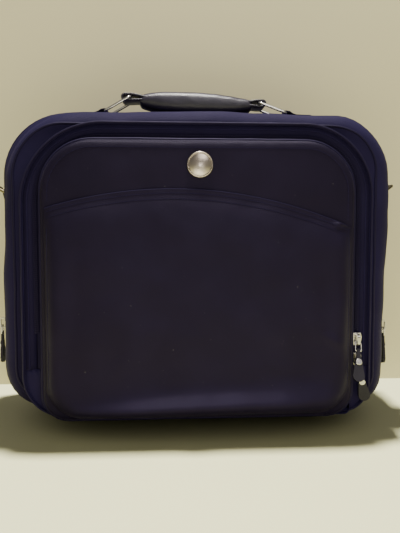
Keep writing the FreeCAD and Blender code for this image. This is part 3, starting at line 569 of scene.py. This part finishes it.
def bow(x, y, z, front, back, most):
    """How far the gusset stands out at a point, between two seams."""
    share = max(0.0, min(1.0, (y - front) / (back - front)))
    height = max(-2.5, most - 7.5 * ((z - 188) / 104) ** 2)
    out = BODY.outward(x, z)
    swell = math.sin(math.pi * share) ** 0.8 * height * abs(out.x)
    swell += math.sin(math.pi * share) ** 0.5 * hump(x) * max(0.0, out.z)
    dimple = 3.2 * math.exp(-((y - D_RING_Y) / 24) ** 2 - ((z - 250) / 26) ** 2)
    return swell - (dimple if abs(x) > 190 and most > 3 else 0.0)


def quarter(y, inset, radius, steps, towards):
    """Stations of a rounded edge: from the side of the shell round to its flat face."""
    turns = [math.radians(90 * i / steps) for i in range(1, steps + 1)]
    return [(y + towards * radius * math.sin(a), inset + radius * (1 - math.cos(a))) for a in turns]


bend_y = BACK_Y - BACK_ROUND
stations = [(SHELL_FRONT_Y + i * (bend_y - SHELL_FRONT_Y) / 14, 0) for i in range(15)]
stations += quarter(bend_y, 0, BACK_ROUND, 5, 1)
stations += [(BACK_Y, BACK_ROUND, s) for s in (0.93, 0.8, 0.6, 0.35, 0.12)]
bm = loft(BODY, stations, back=True)
for v in bm.verts:
    x, y, z = v.co
    if y < BACK_Y - 0.1:
        amount = bow(x, y, z, SHELL_FRONT_Y, 86, 5.0)
        edge_fade = min(1.0, (y - SHELL_FRONT_Y) / 12)
        v.co += BODY.outward(x, z) * (amount + pucker((x, y, z), 34, 0.9) * edge_fade * (z > 20))
# Openings for the wheel housings and for the trolley's bezel.
for side in (-1, 1):
    low_x, high_x = sorted((side * 145.3, side * 174.7))
    window(bm, Vector((low_x, 44.3, 0)), Vector((high_x, 95, 55.7)))
window(bm, Vector((-98.5, 52.5, 335)), Vector((98.5, 79.5, 352)))
facing_out(bm)
rear_shell = piece("rear_shell_cloth", bm, shell_nylon, "case", ["rear_shell"],
                   wall=WALL_THICKNESS, lining=lining_cloth)

# %% [markdown]
# ## The lid of the main compartment
# A shallow tray with a broad rounded edge: the shoulder that shows all round the organiser. Piping is sewn
# where the curve meets the flat front.

# %% Lid
LID_ROUND = 18


def lid_front(x, z):
    """Depth of the lid's front at a point."""
    into = max(0.0, min(LID_ROUND, BODY.depth(x, z)))
    return LID_Y + LID_ROUND - math.sqrt(LID_ROUND ** 2 - (LID_ROUND - into) ** 2)


stations = [(LID_BACK_Y, 0)] + quarter(LID_Y + LID_ROUND, 0, LID_ROUND, 12, -1)
stations += [(LID_Y, LID_ROUND, s) for s in (0.9, 0.75, 0.55, 0.3, 0.1)]
bm = loft(BODY, stations, back=True)
for v in bm.verts:
    x, y, z = v.co
    shoulder = max(0.0, min(1.0, (LID_BACK_Y - y) / 5)) * (y > LID_Y + 0.5)
    out = BODY.outward(x, z)
    swell = 1.4 * abs(out.x) + pucker((x, y, z), 30, 1.3) + 0.6 * hump(x) * max(0.0, out.z)
    if x > 0:
        swell += 4.6 * max(0.0, out.x) * math.exp(-((z - 232) / 76) ** 2)
    else:
        swell -= 4.0 * max(0.0, -out.x) * max(0.0, min(1.0, (z - 165) / 90)) + 9 * max(0.0, -out.x * out.z)
    v.co += out * (shoulder * swell * (z > 20))
facing_out(bm)
lid_cloth = piece("lid_cloth", bm, shell_nylon, "front_lid", ["lid_panel"],
                  wall=WALL_THICKNESS, lining=lining_cloth)


# %% [markdown]
# ## Piping
# Piping is a cord sewn in a folded strip, and its round bead follows the outline. It could be a circle
# swept along a curve. Here it's a loft whose stations go once round a small circle, so that it keeps the
# outline's own corners.


# %% Pipings
def piping(outline, y, inset, radius, waver=0.0, above=None):
    """Round bead along an outline."""
    stations = []
    for i in range(9):
        angle = TURN * i / 8
        stations.append((y - radius * math.cos(angle), inset - radius * math.sin(angle)))
    bm = loft(outline, stations, step=6)
    bmesh.ops.remove_doubles(bm, verts=bm.verts, dist=0.01)
    for v in bm.verts:
        x, _, z = v.co
        v.co += outline.outward(x, z) * pucker((x, y, z), 26, waver)
    if above is not None:
        cut(bm, above, 1)
        bmesh.ops.holes_fill(bm, edges=open_edges(bm))
    recalc(bm)
    return bm


def sew_piping(name, body, nodes, *shape):
    piece(name, piping(*shape), piping_vinyl, body, nodes)


sew_piping("lid_piping_bead", "front_lid", ["lid_piping"], BODY, LID_Y + 0.8, 14.6, 1.7, 0.8)
sew_piping("back_piping_bead", "case", [], BODY, BACK_Y - 3.5, 1.6, 1.7, 0.5)
sew_piping("rear_zip_piping_bead", "case", [], BODY, SHELL_FRONT_Y + 0.6, -0.4, 1.1, 0.2, ZIP_END_Z)

# %% [markdown]
# ## The organiser's side wall
# A soft gusset sewn on the lid. It leans out a little between its seams and puckers where the zip's
# stitching gathers it. Its back edge follows the lid's rounded shoulder.

# %% Organiser wall
ORGANISER = Outline(187, 16, 328, 44, 76, 30, 86)
LIP_Y = -64
SEAM_Y = LIP_Y + 1.6
stations = [(LIP_Y + 1.4, 3.6), (LIP_Y + 0.2, 2.6), (LIP_Y + 0.3, 1.0), (SEAM_Y, 0.1)]
stations += [(LIP_Y + 3 + i * 3.4, 0) for i in range(8)]
bm = loft(ORGANISER, stations)
for v in bm.verts:
    x, y, z = v.co
    out = ORGANISER.outward(x, z)
    share = max(0.0, (y - SEAM_Y) / 25.2)
    if share > 0:
        v.co.y = SEAM_Y + share * (lid_front(x, z) + 1.2 - SEAM_Y)
    swell = math.sin(math.pi * min(1.0, share)) * (2.4 if out.z > -0.5 else 0.0)
    v.co += out * (swell + pucker((x, y * 1.5, z), 16, 1.1) * min(1.0, share * 4) * (z > 20))
facing_out(bm)
organiser_wall = piece("organiser_wall_cloth", bm, shell_nylon, "front_lid", ["organiser_box"],
                       wall=1.6, lining=lining_cloth)
sew_piping("organiser_binding", "front_lid", [], ORGANISER, LIP_Y - 0.2, 1.2, 1.3, 0.3)

# %% [markdown]
# ## Padded panels
# The cover, the back pad and the laptop sleeve are foam between two cloths. Each starts as a grid whose
# rows follow the rounded outline, so that its corners are true arcs. A height function then lifts it: a
# round at the edge, a low crown, and the unevenness of cloth drawn over foam.


# %% Grid panels
def rows_of(outline, spacing, steps):
    """Heights of grid rows: close together round the corners, even between them."""
    arc = [math.radians(90 * i / steps) for i in range(steps)]
    low = [outline.low + outline.low_radius * (1 - math.cos(a)) for a in arc]
    high = [outline.high - outline.top_radius * (1 - math.cos(a)) for a in reversed(arc)]
    start, end = outline.low + outline.low_radius, outline.high - outline.top_radius
    count = int((end - start) / spacing)
    return low + [start + (end - start) * i / count for i in range(count + 1)] + high


def grid_panel(outline, spacing=6, steps=8):
    """Grid over an outline at y = 0. It faces forwards."""
    rows = rows_of(outline, spacing, steps)
    columns = int(2 * outline.half / spacing)
    bm = bmesh.new()
    bmesh.ops.create_grid(bm, x_segments=columns, y_segments=len(rows) - 1, size=1, matrix=UPRIGHT)
    for v in bm.verts:
        z = rows[round((v.co.z + 1) / 2 * (len(rows) - 1))]
        radius = outline.top_radius if z > (outline.low + outline.high) / 2 else outline.low_radius
        rise = max(0.0, outline.low + outline.low_radius - z, z - outline.high + outline.top_radius)
        half = outline.half - radius + math.sqrt(max(0.0, radius ** 2 - rise ** 2))
        u = v.co.x * (1.25 - 0.25 * v.co.x ** 2)
        v.co = (u * half, 0, z)
    return bm


def backed(bm, y):
    """Carries the edge of a grid back to a depth and closes it."""
    fresh = set(new_verts(bmesh.ops.extrude_edge_only(bm, edges=open_edges(bm))))
    for v in fresh:
        v.co.y = y
    bmesh.ops.contextual_create(bm, geom=edges_among(bm, fresh))
    recalc(bm)
    return bm


def rounded_rise(into, radius):
    """Height of a rounded edge at a distance inside it."""
    return math.sqrt(max(0.0, radius ** 2 - (radius - min(radius, into)) ** 2))


# %% [markdown]
# ## The organiser's cover
# One padded panel with a plain yoke above the slip pocket. It puckers a little along its edge, and the
# badge's rivet holds it flat behind the badge.

# %% Cover
COVER = Outline(164, 16, 308, 26, 54)
COVER_FRONT_Y = -78
BADGE_Z = 282


def cover_front(x, z):
    """Depth of the cover's front at a point."""
    into = COVER.depth(x, z)
    puff = 1 - math.exp(-(into / 26) ** 2)
    held = math.exp(-((x / 20) ** 2 + ((z - BADGE_Z) / 20) ** 2))
    uneven = pucker((x, 7, z), 30, 1.2) * puff + pucker((x, 3, z), 11, 0.5) * math.exp(-into / 16)
    dent = 1.3 * math.exp(-((x - 6) / 52) ** 2 - ((z - 270) / 40) ** 2) * puff
    crown = 2.2 * puff + uneven - dent
    return COVER_FRONT_Y + 5 - rounded_rise(into, 5.5) - crown * (1 - held) + 0.5


bm = grid_panel(COVER, 5)
for v in bm.verts:
    v.co.y = cover_front(v.co.x, v.co.z)
cover_cloth = piece("cover_cloth", backed(bm, LIP_Y - 0.4), panel_nylon, "organiser_cover", ["cover_panel"])
sew_piping("cover_piping_bead", "organiser_cover", ["cover_piping"], COVER, -70.8, -0.4, 1.8, 0.4)

# %% [markdown]
# ## The slip pocket
# A loose front sewn down on three sides. Its mouth is cut in an arch, lower on the right. Papers have
# stretched it, so it hangs in a belly above its lower seam, and the cloth rolls under there. The belly's
# upper slope is the one broad highlight on the front. A curve through a few heights gives the hang in the
# middle, a plainer one the sides, and soft creases are added: the ends of a line, its width and its height.

# %% Slip pocket
POCKET = Outline(159, 18.5, 262, 38, 2)
UPPER = [(110, 12.6), (150, 12.2), (190, 10.2), (225, 7.6), (262, 4.6)]
HANG = [(18.5, 8.0), (20.5, 15.0), (23.5, 20.4), (27.5, 24.0), (31, 24.8), (35, 23.4), (40, 19.2), (46, 14.8),
        (54, 12.0), (66, 11.2)] + UPPER
PLAIN = [(19, 0.4), (24, 6), (34, 11), (60, 12.4)] + UPPER
CREASES = [(128, 108, 150, 92, 5, 2.2), (138, 219, 154, 223, 3, 2.4), (-132, 60, -128, 190, 13, -1.8),
           (134, 70, 126, 190, 12, -1.6), (-100, 62, -60, 92, 9, 0.9), (60, 78, 110, 66, 8, 0.9),
           (-40, 225, 70, 205, 22, 0.8), (30, 215, 52, 120, 16, -0.9), (-72, 200, -84, 110, 18, 0.8),
           (70, 58, 140, 44, 9, 2.0)]


def smooth_curve(points, at):
    """Curve through points, at a position."""
    at = max(points[0][0], min(points[-1][0], at))
    index = max(i for i, p in enumerate(points[:-1]) if p[0] <= at)
    (a, start), (b, end) = points[index], points[index + 1]
    before, after = points[max(0, index - 1)], points[min(len(points) - 1, index + 2)]
    slope_a = (end - before[1]) / (b - before[0]) * (b - a)
    slope_b = (after[1] - start) / (after[0] - a) * (b - a)
    t = (at - a) / (b - a)
    return ((2 * t ** 3 - 3 * t * t + 1) * start + (t ** 3 - 2 * t * t + t) * slope_a
            + (3 * t * t - 2 * t ** 3) * end + (t ** 3 - t * t) * slope_b)


def mouth(x):
    """Height of the pocket's mouth."""
    return 256 - 0.0613 * x - 0.001157 * x * x


def crease(x, z, x0, z0, x1, z1, width, height):
    """A soft ridge or dent along a line."""
    run = Vector((x1 - x0, z1 - z0))
    share = max(0.0, min(1.0, Vector((x - x0, z - z0)).dot(run) / run.length_squared))
    gap = (Vector((x - x0, z - z0)) - run * share).length
    return height * math.exp(-(gap / width) ** 2) * math.sin(math.pi * (0.08 + 0.84 * share))


def pocket_front(x, z):
    """Depth of the pocket's front at a point."""
    fade = 1 - min(1.0, abs(x) / 158) ** 3.2
    lift = (0.055 * x - 0.0003 * x * x + 1) * math.exp(-((z - 44) / 30) ** 2)
    hang = smooth_curve(HANG, z - lift)
    plain = smooth_curve(PLAIN, z)
    body = plain + (hang - plain) * fade
    into = POCKET.depth(x, min(z, 220))
    seam = 1 - math.exp(-(max(0.0, into) / 5.5) ** 1.15)
    top = 1 - 0.5 * math.exp(-((mouth(x) - z) / 16) ** 2)
    folds = sum(crease(x, z, *line) for line in CREASES)
    folds += pucker((x, 0, z), 44, 1.5) + pucker((x, 9, z), 15, 0.35)
    return COVER_FRONT_Y - 1.2 - max(0.6, (body * top + folds * 0.9) * seam)


bm = grid_panel(POCKET, 3.0, 22)
for v in bm.verts:
    x, z = v.co.x, v.co.z
    share = (z - POCKET.low) / (POCKET.high - POCKET.low)
    z = POCKET.low + share * (mouth(x) - POCKET.low)
    v.co = (x, pocket_front(x, z), z)
recalc(bm)
if sum(f.normal.y for f in bm.faces) > 0:
    bmesh.ops.reverse_faces(bm, faces=bm.faces)
pocket_cloth = piece("pocket_cloth", bm, panel_nylon, "organiser_cover", ["pocket_panel"],
                     wall=1.3, lining=lining_cloth)

# %% [markdown]
# ## Strips, hems and stitches
# A hem is a narrow fold along an edge, and webbing is a flat strip. Both are an edge extruded along points.
# A stitch is a tiny block, so hundreds of them cost little.


# %% Strip and stitch helpers
def strip(points, across):
    """Strip of cloth through points, as wide as a vector across."""
    bm = bmesh.new()
    edge = bm.edges.new([bm.verts.new(Vector(points[0]) + across * side) for side in (-0.5, 0.5)])
    for before, after in zip(points, points[1:]):
        fresh = new_verts(bmesh.ops.extrude_edge_only(bm, edges=[edge]))
        bmesh.ops.translate(bm, verts=fresh, vec=Vector(after) - Vector(before))
        edge = next(e for e in bm.edges if set(e.verts) == set(fresh))
    return bm


def bead(points, radius, sides=8):
    """Round cord through points, with closed ends."""
    bm = bmesh.new()
    ring = None
    for index, point in enumerate(points):
        ahead = Vector(points[min(index + 1, len(points) - 1)]) - Vector(points[max(index - 1, 0)])
        place = Matrix.Translation(point) @ ahead.to_track_quat("Z", "Y").to_matrix().to_4x4()
        circle = bmesh.ops.create_circle(bm, segments=sides, radius=radius, matrix=place)
        edges = edges_among(bm, circle["verts"])
        if ring:
            bmesh.ops.bridge_loops(bm, edges=ring + edges)
        ring = edges
    bmesh.ops.holes_fill(bm, edges=open_edges(bm))
    recalc(bm)
    return bm


def blocks(places, size):
    """Small blocks: each place is a centre, the direction of its length and the direction of its height."""
    bm = bmesh.new()
    for centre, along, up in places:
        along, up = Vector(along).normalized(), Vector(up).normalized()
        turn = Matrix((along, up.cross(along), up)).transposed().to_4x4()
        place = Matrix.Translation(centre) @ turn @ Matrix.Diagonal((*size, 1))
        bmesh.ops.create_cube(bm, size=1, matrix=place)
    return bm


def stitch_row(points, pitch, up):
    """Places for stitches along points."""
    places, spare = [], 0.0
    for start, end in zip(points, points[1:]):
        run = Vector(end) - Vector(start)
        while spare < run.length:
            places.append((Vector(start) + run * (spare / run.length), run, up))
            spare += pitch
        spare -= run.length
    return places


# %% [markdown]
# ## Binding and stitches of the front
# A thin binding closes the pocket's mouth. Two rows of stitches run below it, one up each side, and one
# round the yoke. They follow the cloth's own height functions, so they lie on it wherever it puckers.

# %% Front stitching
STITCH_PITCH = 3.4
FORWARDS = (0, -1, 0)
rim = [(x, pocket_front(x, mouth(x)) + 0.9, mouth(x)) for x in range(-158, 159, 6)]
piece("pocket_mouth_binding", bead(rim, 0.7), zip_tape, "organiser_cover", [])
rows = []
for below in (4.0, 10.0):
    line = [(x, pocket_front(x, mouth(x) - below) - 0.15, mouth(x) - below) for x in range(-155, 156, 5)]
    rows += stitch_row(line, STITCH_PITCH, FORWARDS)
for side in (-1, 1):
    line = [(side * 155.5, pocket_front(side * 155.5, z) - 0.15, z) for z in range(52, 222, 5)]
    rows += stitch_row(line, STITCH_PITCH, FORWARDS)
edge_line = [(x, z) for x, z, _ in COVER.walk(8.5, 5) if z > mouth(x) + 6]
for (x0, z0), (x1, z1) in zip(edge_line, edge_line[1:]):
    if math.hypot(x1 - x0, z1 - z0) < 12:
        line = [(x0, cover_front(x0, z0) - 0.1, z0), (x1, cover_front(x1, z1) - 0.1, z1)]
        rows += stitch_row(line, STITCH_PITCH, FORWARDS)
piece("front_stitching", blocks(rows, (2.3, 0.55, 0.5)), thread, "organiser_cover", [])

# %% [markdown]
# ## The zips
# Two tapes meet edge to edge. Moulded teeth sit on each edge and fall between those of the other. A tooth
# is one small block, and the outline is walked at the pitch of the teeth. The tapes end above the hinge,
# and the teeth where the sliders wait.


# %% Zip tapes and teeth
TOOTH_PITCH = 1.1


def tape(name, outline, stations, low, body, node):
    """Zip tape sewn to a piece."""
    bm = loft(outline, stations, step=7)
    cut(bm, low, 1)
    facing_out(bm)
    made = piece(name, bm, zip_tape, body, [node], wall=0.9)


def teeth(name, outline, inset, y, size, low, shift, body):
    """Teeth along an outline. Size is along the zip, through the tape's face and across the tape."""
    places = []
    for count, (x, z, out) in enumerate(outline.walk(inset, TOOTH_PITCH)):
        if z > low and count % 2 == shift:
            places.append((Vector((x, y, z)), out.cross(Vector((0, 1, 0))), out))
    piece(name, blocks(places, size), coil_nylon, body, [])


# %% Both zips
MAIN_ZIP_Y = -12
MAIN_TOOTH = (1.25, 2.1, 1.3)
MAIN_TEETH_Z = 119
tape("main_zip_tape_rear", BODY, [(-5.5, 1.1), (-8.5, 0.7), (-11.75, 0.9)], ZIP_END_Z, "case",
     "main_zip_rear")
tape("main_zip_tape_front", BODY, [(-12.25, 0.9), (-15.5, 0.7), (-18.5, 1.1)], ZIP_END_Z, "front_lid",
     "main_zip_front")
teeth("main_zip_teeth_rear", BODY, 0.3, MAIN_ZIP_Y + 1.1, MAIN_TOOTH, MAIN_TEETH_Z, 0, "case")
teeth("main_zip_teeth_front", BODY, 0.3, MAIN_ZIP_Y - 1.1, MAIN_TOOTH, MAIN_TEETH_Z, 1, "front_lid")
FLAT_Y = LIP_Y + 1.0
FLAT_TOOTH = (1.25, 1.3, 2.1)
FLAT_END_Z = 67
FLAT_TEETH_Z = 106
tape("organiser_zip_tape_outer", ORGANISER, [(FLAT_Y, 2.4), (FLAT_Y - 0.3, 9), (FLAT_Y, 15.2)], FLAT_END_Z,
     "front_lid", "organiser_zip_outer")
tape("organiser_zip_tape_inner", ORGANISER, [(FLAT_Y, 15.8), (FLAT_Y - 0.3, 20), (FLAT_Y, 25.5)], FLAT_END_Z,
     "organiser_cover", "organiser_zip_inner")
HALVES = (("outer", 14.4, 7.5, 0, "front_lid"), ("inner", 16.6, 20.5, 1, "organiser_cover"))
for word, inset, _, shift, body in HALVES:
    name = "organiser_zip_teeth_" + word
    teeth(name, ORGANISER, inset, FLAT_Y - 0.7, FLAT_TOOTH, FLAT_TEETH_Z, shift, body)
for word, _, inset, _, body in HALVES:
    rib = piping(ORGANISER, FLAT_Y - 0.2, inset, 0.7, 0.0, FLAT_END_Z)
    piece("organiser_tape_rib_" + word, rib, thread, body, [])

# %% [markdown]
# ## Hinge cloths
# The lid and the cover turn on a fold of nylon along their lower edges. Each is one sheet, sewn to both
# sides. It rides on no body and stays as it is made.

# %% Hinge cloths
bm = loft(BODY, [(-3.5 - i * 1.7, -0.7) for i in range(11)], step=6)
cut(bm, ZIP_END_Z + 1.5, -1)
facing_out(bm)
main_hinge = piece("main_hinge_cloth", bm, shell_nylon, None, ["hinge_strip"], wall=0.6)
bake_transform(main_hinge)

stations = [(-58.5, 0.4), (-60.5, 0.8), (-62.0, 2.0), (-62.8, 6), (-63.3, 12), (-63.8, 18), (-64.8, 21.5),
            (-66, 22.6), (-68, 23), (-70, 23.2)]
bm = loft(ORGANISER, stations, step=6)
insets = dict(stations)
for v in bm.verts:
    v.co.z -= insets[min(insets, key=lambda y: abs(y - v.co.y))] + 0.5
cut(bm, FLAT_END_Z + 1, -1)
facing_out(bm)
cover_hinge = piece("organiser_hinge_cloth", bm, shell_nylon, None, [], wall=0.6)
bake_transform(cover_hinge)

# %% [markdown]
# ## Webbing tabs and handle straps
# Each ring is held by a strip folded round its bar. A strip follows its real path: up one side, round the
# bar and back down, where it's sewn to itself. Its thickness comes from Solidify.


# %% Webbing and straps
def round_bar(x, z, radius, start, end, steps=10):
    """Points round a bar, as x and z. Angles are in degrees."""
    turns = [math.radians(start + (end - start) * i / steps) for i in range(steps + 1)]
    return [(x + radius * math.cos(a), z + radius * math.sin(a)) for a in turns]


def strap(name, node, side, path, y, width, thickness, finish, body):
    """Folded strip through x, z points on a side (-1 or 1), round-edged, sewn round what it holds."""
    bm = strip([(side * x, y, z) for x, z in path], Vector((0, width, 0)))
    made = piece(name, bm, finish, body, [node])
    solid = made.modifiers.new("thickness", "SOLIDIFY")
    solid.thickness = thickness * MM
    solid.offset = 0
    edge = made.modifiers.new("edge", "BEVEL")
    edge.width = 0.3 * thickness * MM
    edge.segments = 2


RING_RISE = {-1: 17.0, 1: 11.63}
HANDLE_Y = 7
ANCHOR_X, ANCHOR_Z = 104, 349.5
RING_LENGTH = 34
HANDLE_LIFT = 8
HANDLE_WEBBING = 27
TAB_WEBBING = 17
for side, word in ((-1, "left"), (1, "right")):
    path = [(134, 346.5), (120, 346.3), (110, 346.2)] + round_bar(ANCHOR_X, ANCHOR_Z, 3.1, 275, 90)
    path += [(108, 352.0), (112, 349.4), (116, 348.2), (124, 347.9), (133, 347.8)]
    strap("anchor_" + word, "handle_anchors", side, path, HANDLE_Y, HANDLE_WEBBING, 1.3, strap_webbing,
          "case")
    rise = RING_RISE[side]
    tip = ANCHOR_X - math.sqrt(RING_LENGTH ** 2 - rise ** 2)
    lifted = ANCHOR_X - math.sqrt(RING_LENGTH ** 2 - (rise + HANDLE_LIFT) ** 2)
    z = ANCHOR_Z + rise
    inner = 365.2 if side < 0 else 360.6
    path = [(46, inner + 1.2), (58, inner + 1.5), (tip - 4, z + 3.0), (tip, z + 3.4), (lifted, z + 3.4)]
    path += round_bar(lifted + 0.4, z, 3.4, 75, -75, 8)
    path += [(lifted, z - 3.4), (tip, z - 3.4), (tip - 4, z - 3.0), (58, inner - 1.5), (46, inner - 1.2)]
    strap("strap_end_" + word, "handle_straps", side, path, HANDLE_Y, HANDLE_WEBBING, 2.0, leatherette,
          "carry_handle")
    ring_x, ring_z = 218.8, 258
    path = [(216.6, 231), (217.2, 240), (216.9, 250)] + round_bar(ring_x, ring_z, 2.95, 205, -25)
    path += [(220.0, 251), (218.9, 244), (218.6, 231.5)]
    path = [(x + 0.4, z) for x, z in path]
    strap("side_tab_" + word, "side_tabs", side, path, D_RING_Y, TAB_WEBBING, 1.2, strap_webbing, "case")

# %% [markdown]
# ## The carry grip
# Foam rolled in leatherette. It's fullest in the middle, narrows to its collars, and droops towards its
# right end, where the ring lies lower. A circle is carried along the grip and reshaped at each station,
# with a sewn seam below. A row of the table is a place along the grip, half a height, half a depth and the
# height of the middle.

# %% Carry grip
GRIP = [(-65, 3.6, 11.0, 363.6), (-63, 6.4, 13.0, 363.4), (-58, 8.3, 14.0, 363.2), (-50, 10.2, 14.8, 363.0),
        (-38, 12.0, 15.4, 362.2), (-20, 13.0, 15.8, 361.4), (0, 13.2, 15.8, 360.9), (20, 12.6, 15.8, 360.2),
        (38, 11.1, 15.4, 359.5), (50, 9.3, 14.8, 359.2), (58, 7.7, 14.0, 359.3), (63, 6.0, 13.0, 359.4),
        (65, 3.6, 11.0, 359.4)]
GRIP_STEPS = 60
SQUARENESS = 2.6


def grip_section(x):
    """Half height, half depth and middle of the grip at a place along it."""
    return [smooth_curve([(row[0], row[column]) for row in GRIP], x) for column in (1, 2, 3)]


bm = bmesh.new()
ring = None
for index in range(GRIP_STEPS + 1):
    x = GRIP[0][0] + (GRIP[-1][0] - GRIP[0][0]) * (0.5 - 0.5 * math.cos(math.pi * index / GRIP_STEPS))
    tall, deep, middle = grip_section(x)
    place = Matrix.Translation((x, HANDLE_Y, middle)) @ Matrix.Rotation(math.radians(90), 4, "Y")
    made = bmesh.ops.create_circle(bm, segments=36, radius=1, matrix=place)["verts"]
    for v in made:
        y, z = v.co.y - HANDLE_Y, v.co.z - middle
        squared = (abs(y) ** SQUARENESS + abs(z) ** SQUARENESS) ** (-1 / SQUARENESS)
        y, z = y * squared, z * squared
        sag = pucker((x, y * 12, z * 12), 9, 0.35)
        v.co.y, v.co.z = HANDLE_Y + y * (deep + sag), middle + z * (tall + sag)
    edges = edges_among(bm, made)
    if ring:
        bmesh.ops.bridge_loops(bm, edges=ring + edges)
    ring = edges
bmesh.ops.holes_fill(bm, edges=open_edges(bm))
recalc(bm)
carry_grip = piece("carry_grip_cover", bm, leatherette, "carry_handle", ["carry_grip"])
rows = []
for side in (-1, 1):
    line = []
    for x in range(-46, 47, 4):
        tall, _, middle = grip_section(x)
        line.append((x, HANDLE_Y + side * 13.6, middle - tall * 0.74))
    rows += stitch_row(line, 3.2, (0, side, -0.4))
piece("grip_stitching", blocks(rows, (2.2, 0.5, 0.6)), thread, "carry_handle", [])

# %% [markdown]
# ## The badge
# A plain domed disc in a rolled rim, turned like a button: half a profile is spun once round.

# %% Badge
PROFILE = [(0, -82.6), (3, -82.5), (6, -82.1), (9, -81.4), (11, -80.6), (11.6, -80.4), (11.8, -81.2),
           (12.3, -81.7), (12.9, -81.6), (13.4, -81.0), (13.5, -80.0), (13.5, -77.5), (0, -77.5)]
bm = bmesh.new()
points = [bm.verts.new((x, y, BADGE_Z)) for x, y in PROFILE]
edges = [bm.edges.new(pair) for pair in zip(points, points[1:])]
bmesh.ops.spin(bm, geom=points + edges, cent=(0, 0, BADGE_Z), axis=(0, 1, 0), angle=TURN, steps=64,
               use_merge=True)
bmesh.ops.remove_doubles(bm, verts=bm.verts, dist=0.005)
recalc(bm)
piece("badge_button", bm, badge_chrome, "organiser_cover", ["badge_rim", "badge_dome"],
      sharp=65)

# %% [markdown]
# ## Pads at the back and inside
# The back pad is foam under nylon with two sewn channels. The sleeve holds a laptop against the board, and
# the organiser has two flat pockets. They're the same grid panels.


# %% Pads
CROWN = 1.5


def pad(name, node, radii, thickness, edge, finish, body, channels=(), backwards=False,
        shift=0.0, half=None, spacing=6):
    """Padded panel in the space of a CAD node, with upright sewn channels."""
    low, high = (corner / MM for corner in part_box(node))
    outline = Outline(half or high.x - 0.3, low.z, high.z, *radii)
    bm = grid_panel(outline, spacing)
    for v in bm.verts:
        x, z = v.co.x, v.co.z
        into = outline.depth(x, z)
        puff = 1 - math.exp(-(max(0.0, into) / 22) ** 2)
        rise = (rounded_rise(into, edge) / edge * (thickness - CROWN) + CROWN * puff
                + pucker((x, 5, z), 24, 0.7) * puff)
        groove = sum(math.exp(-((x - channel) / 4.5) ** 2) for channel in channels) * puff
        v.co.y = -max(0.8, rise * (1 - 0.55 * groove))
    backed(bm, 0)
    if backwards:
        bmesh.ops.mirror(bm, geom=everything(bm), merge_dist=-1, axis="Y")
        bmesh.ops.delete(bm, geom=[v for v in bm.verts if v.co.y < -0.01], context="VERTS")
        bmesh.ops.contextual_create(bm, geom=open_edges(bm))
        recalc(bm)
    bmesh.ops.translate(bm, verts=bm.verts, vec=(shift, low.y if backwards else high.y, 0))
    piece(name, bm, finish, body, [node])


pad("back_pad_cloth", "back_pad", (16, 22), 5.8, 4, panel_nylon, "case", (-52, 52), True)
pad("laptop_sleeve_cloth", "laptop_sleeve", (28, 20), 7.6, 4, lining_cloth, "case", (-92, 92))
for side, word in ((-1, "left"), (1, "right")):
    pad("organiser_pocket_" + word, "organiser_pockets", (8, 6), 8.5, 5, lining_cloth, "front_lid",
        shift=side * 75, half=70, spacing=7)

# %% [markdown]
# ## Finishes of the hard parts
# The mouldings, tubes, wheels, rings and zip sliders keep their CAD meshes, so only their finishes are
# set. Most of them come in pairs.


# %% CAD parts
def both(name, words=("left", "right")):
    """Names of the two nodes of a pair."""
    return [f"{name}_{word}" for word in words]


UPPER_LOWER = ("upper", "lower")
FINISHES = {
    moulding: ["base_tray", "foot_rail", "kick_plate", *both("wheel_housing"), "trolley_bezel",
               "trolley_foot"],
    hub_plastic: both("wheel_hub"),
    tread_rubber: both("wheel_tyre"),
    plated: ["base_screws", "bezel_screws", "wheel_axles", "handle_rivets"],
    anodised: ["trolley_outer_tubes", "trolley_mid_tubes", "trolley_inner_tubes"],
    drawn_steel: ["release_rods"],
    grip_plastic: ["trolley_grip", "release_button"],
    board_sheet: ["back_board"],
    chrome: both("handle_ring"),
    # The D-rings get the chrome that is painted dark as shade.
    painted_shade_chrome: both("d_ring"),
    slider_plate: [*both("main_slider"), *both("cover_slider", UPPER_LOWER), *both("main_pull_metal"),
                   *both("cover_pull_metal", UPPER_LOWER)],
    tab_rubber: [*both("main_pull_tab"), *both("cover_pull_tab", UPPER_LOWER)],
}
for finish, names in FINISHES.items():
    for name in names:
        mesh = frame["nodes"][name].data
        mesh.materials.clear()
        mesh.materials.append(finish.material)
print("finishes set on", sum(len(names) for names in FINISHES.values()), "CAD parts")

# %% [markdown]
# ## Handing over
# The lamps for the case light the pieces of their collection, so every mesh but the bench joins it.

# %% Hand over
for made in bpy.context.scene.objects:
    if made.type == "MESH" and made is not bench:
        case_and_wall.objects.link(made)
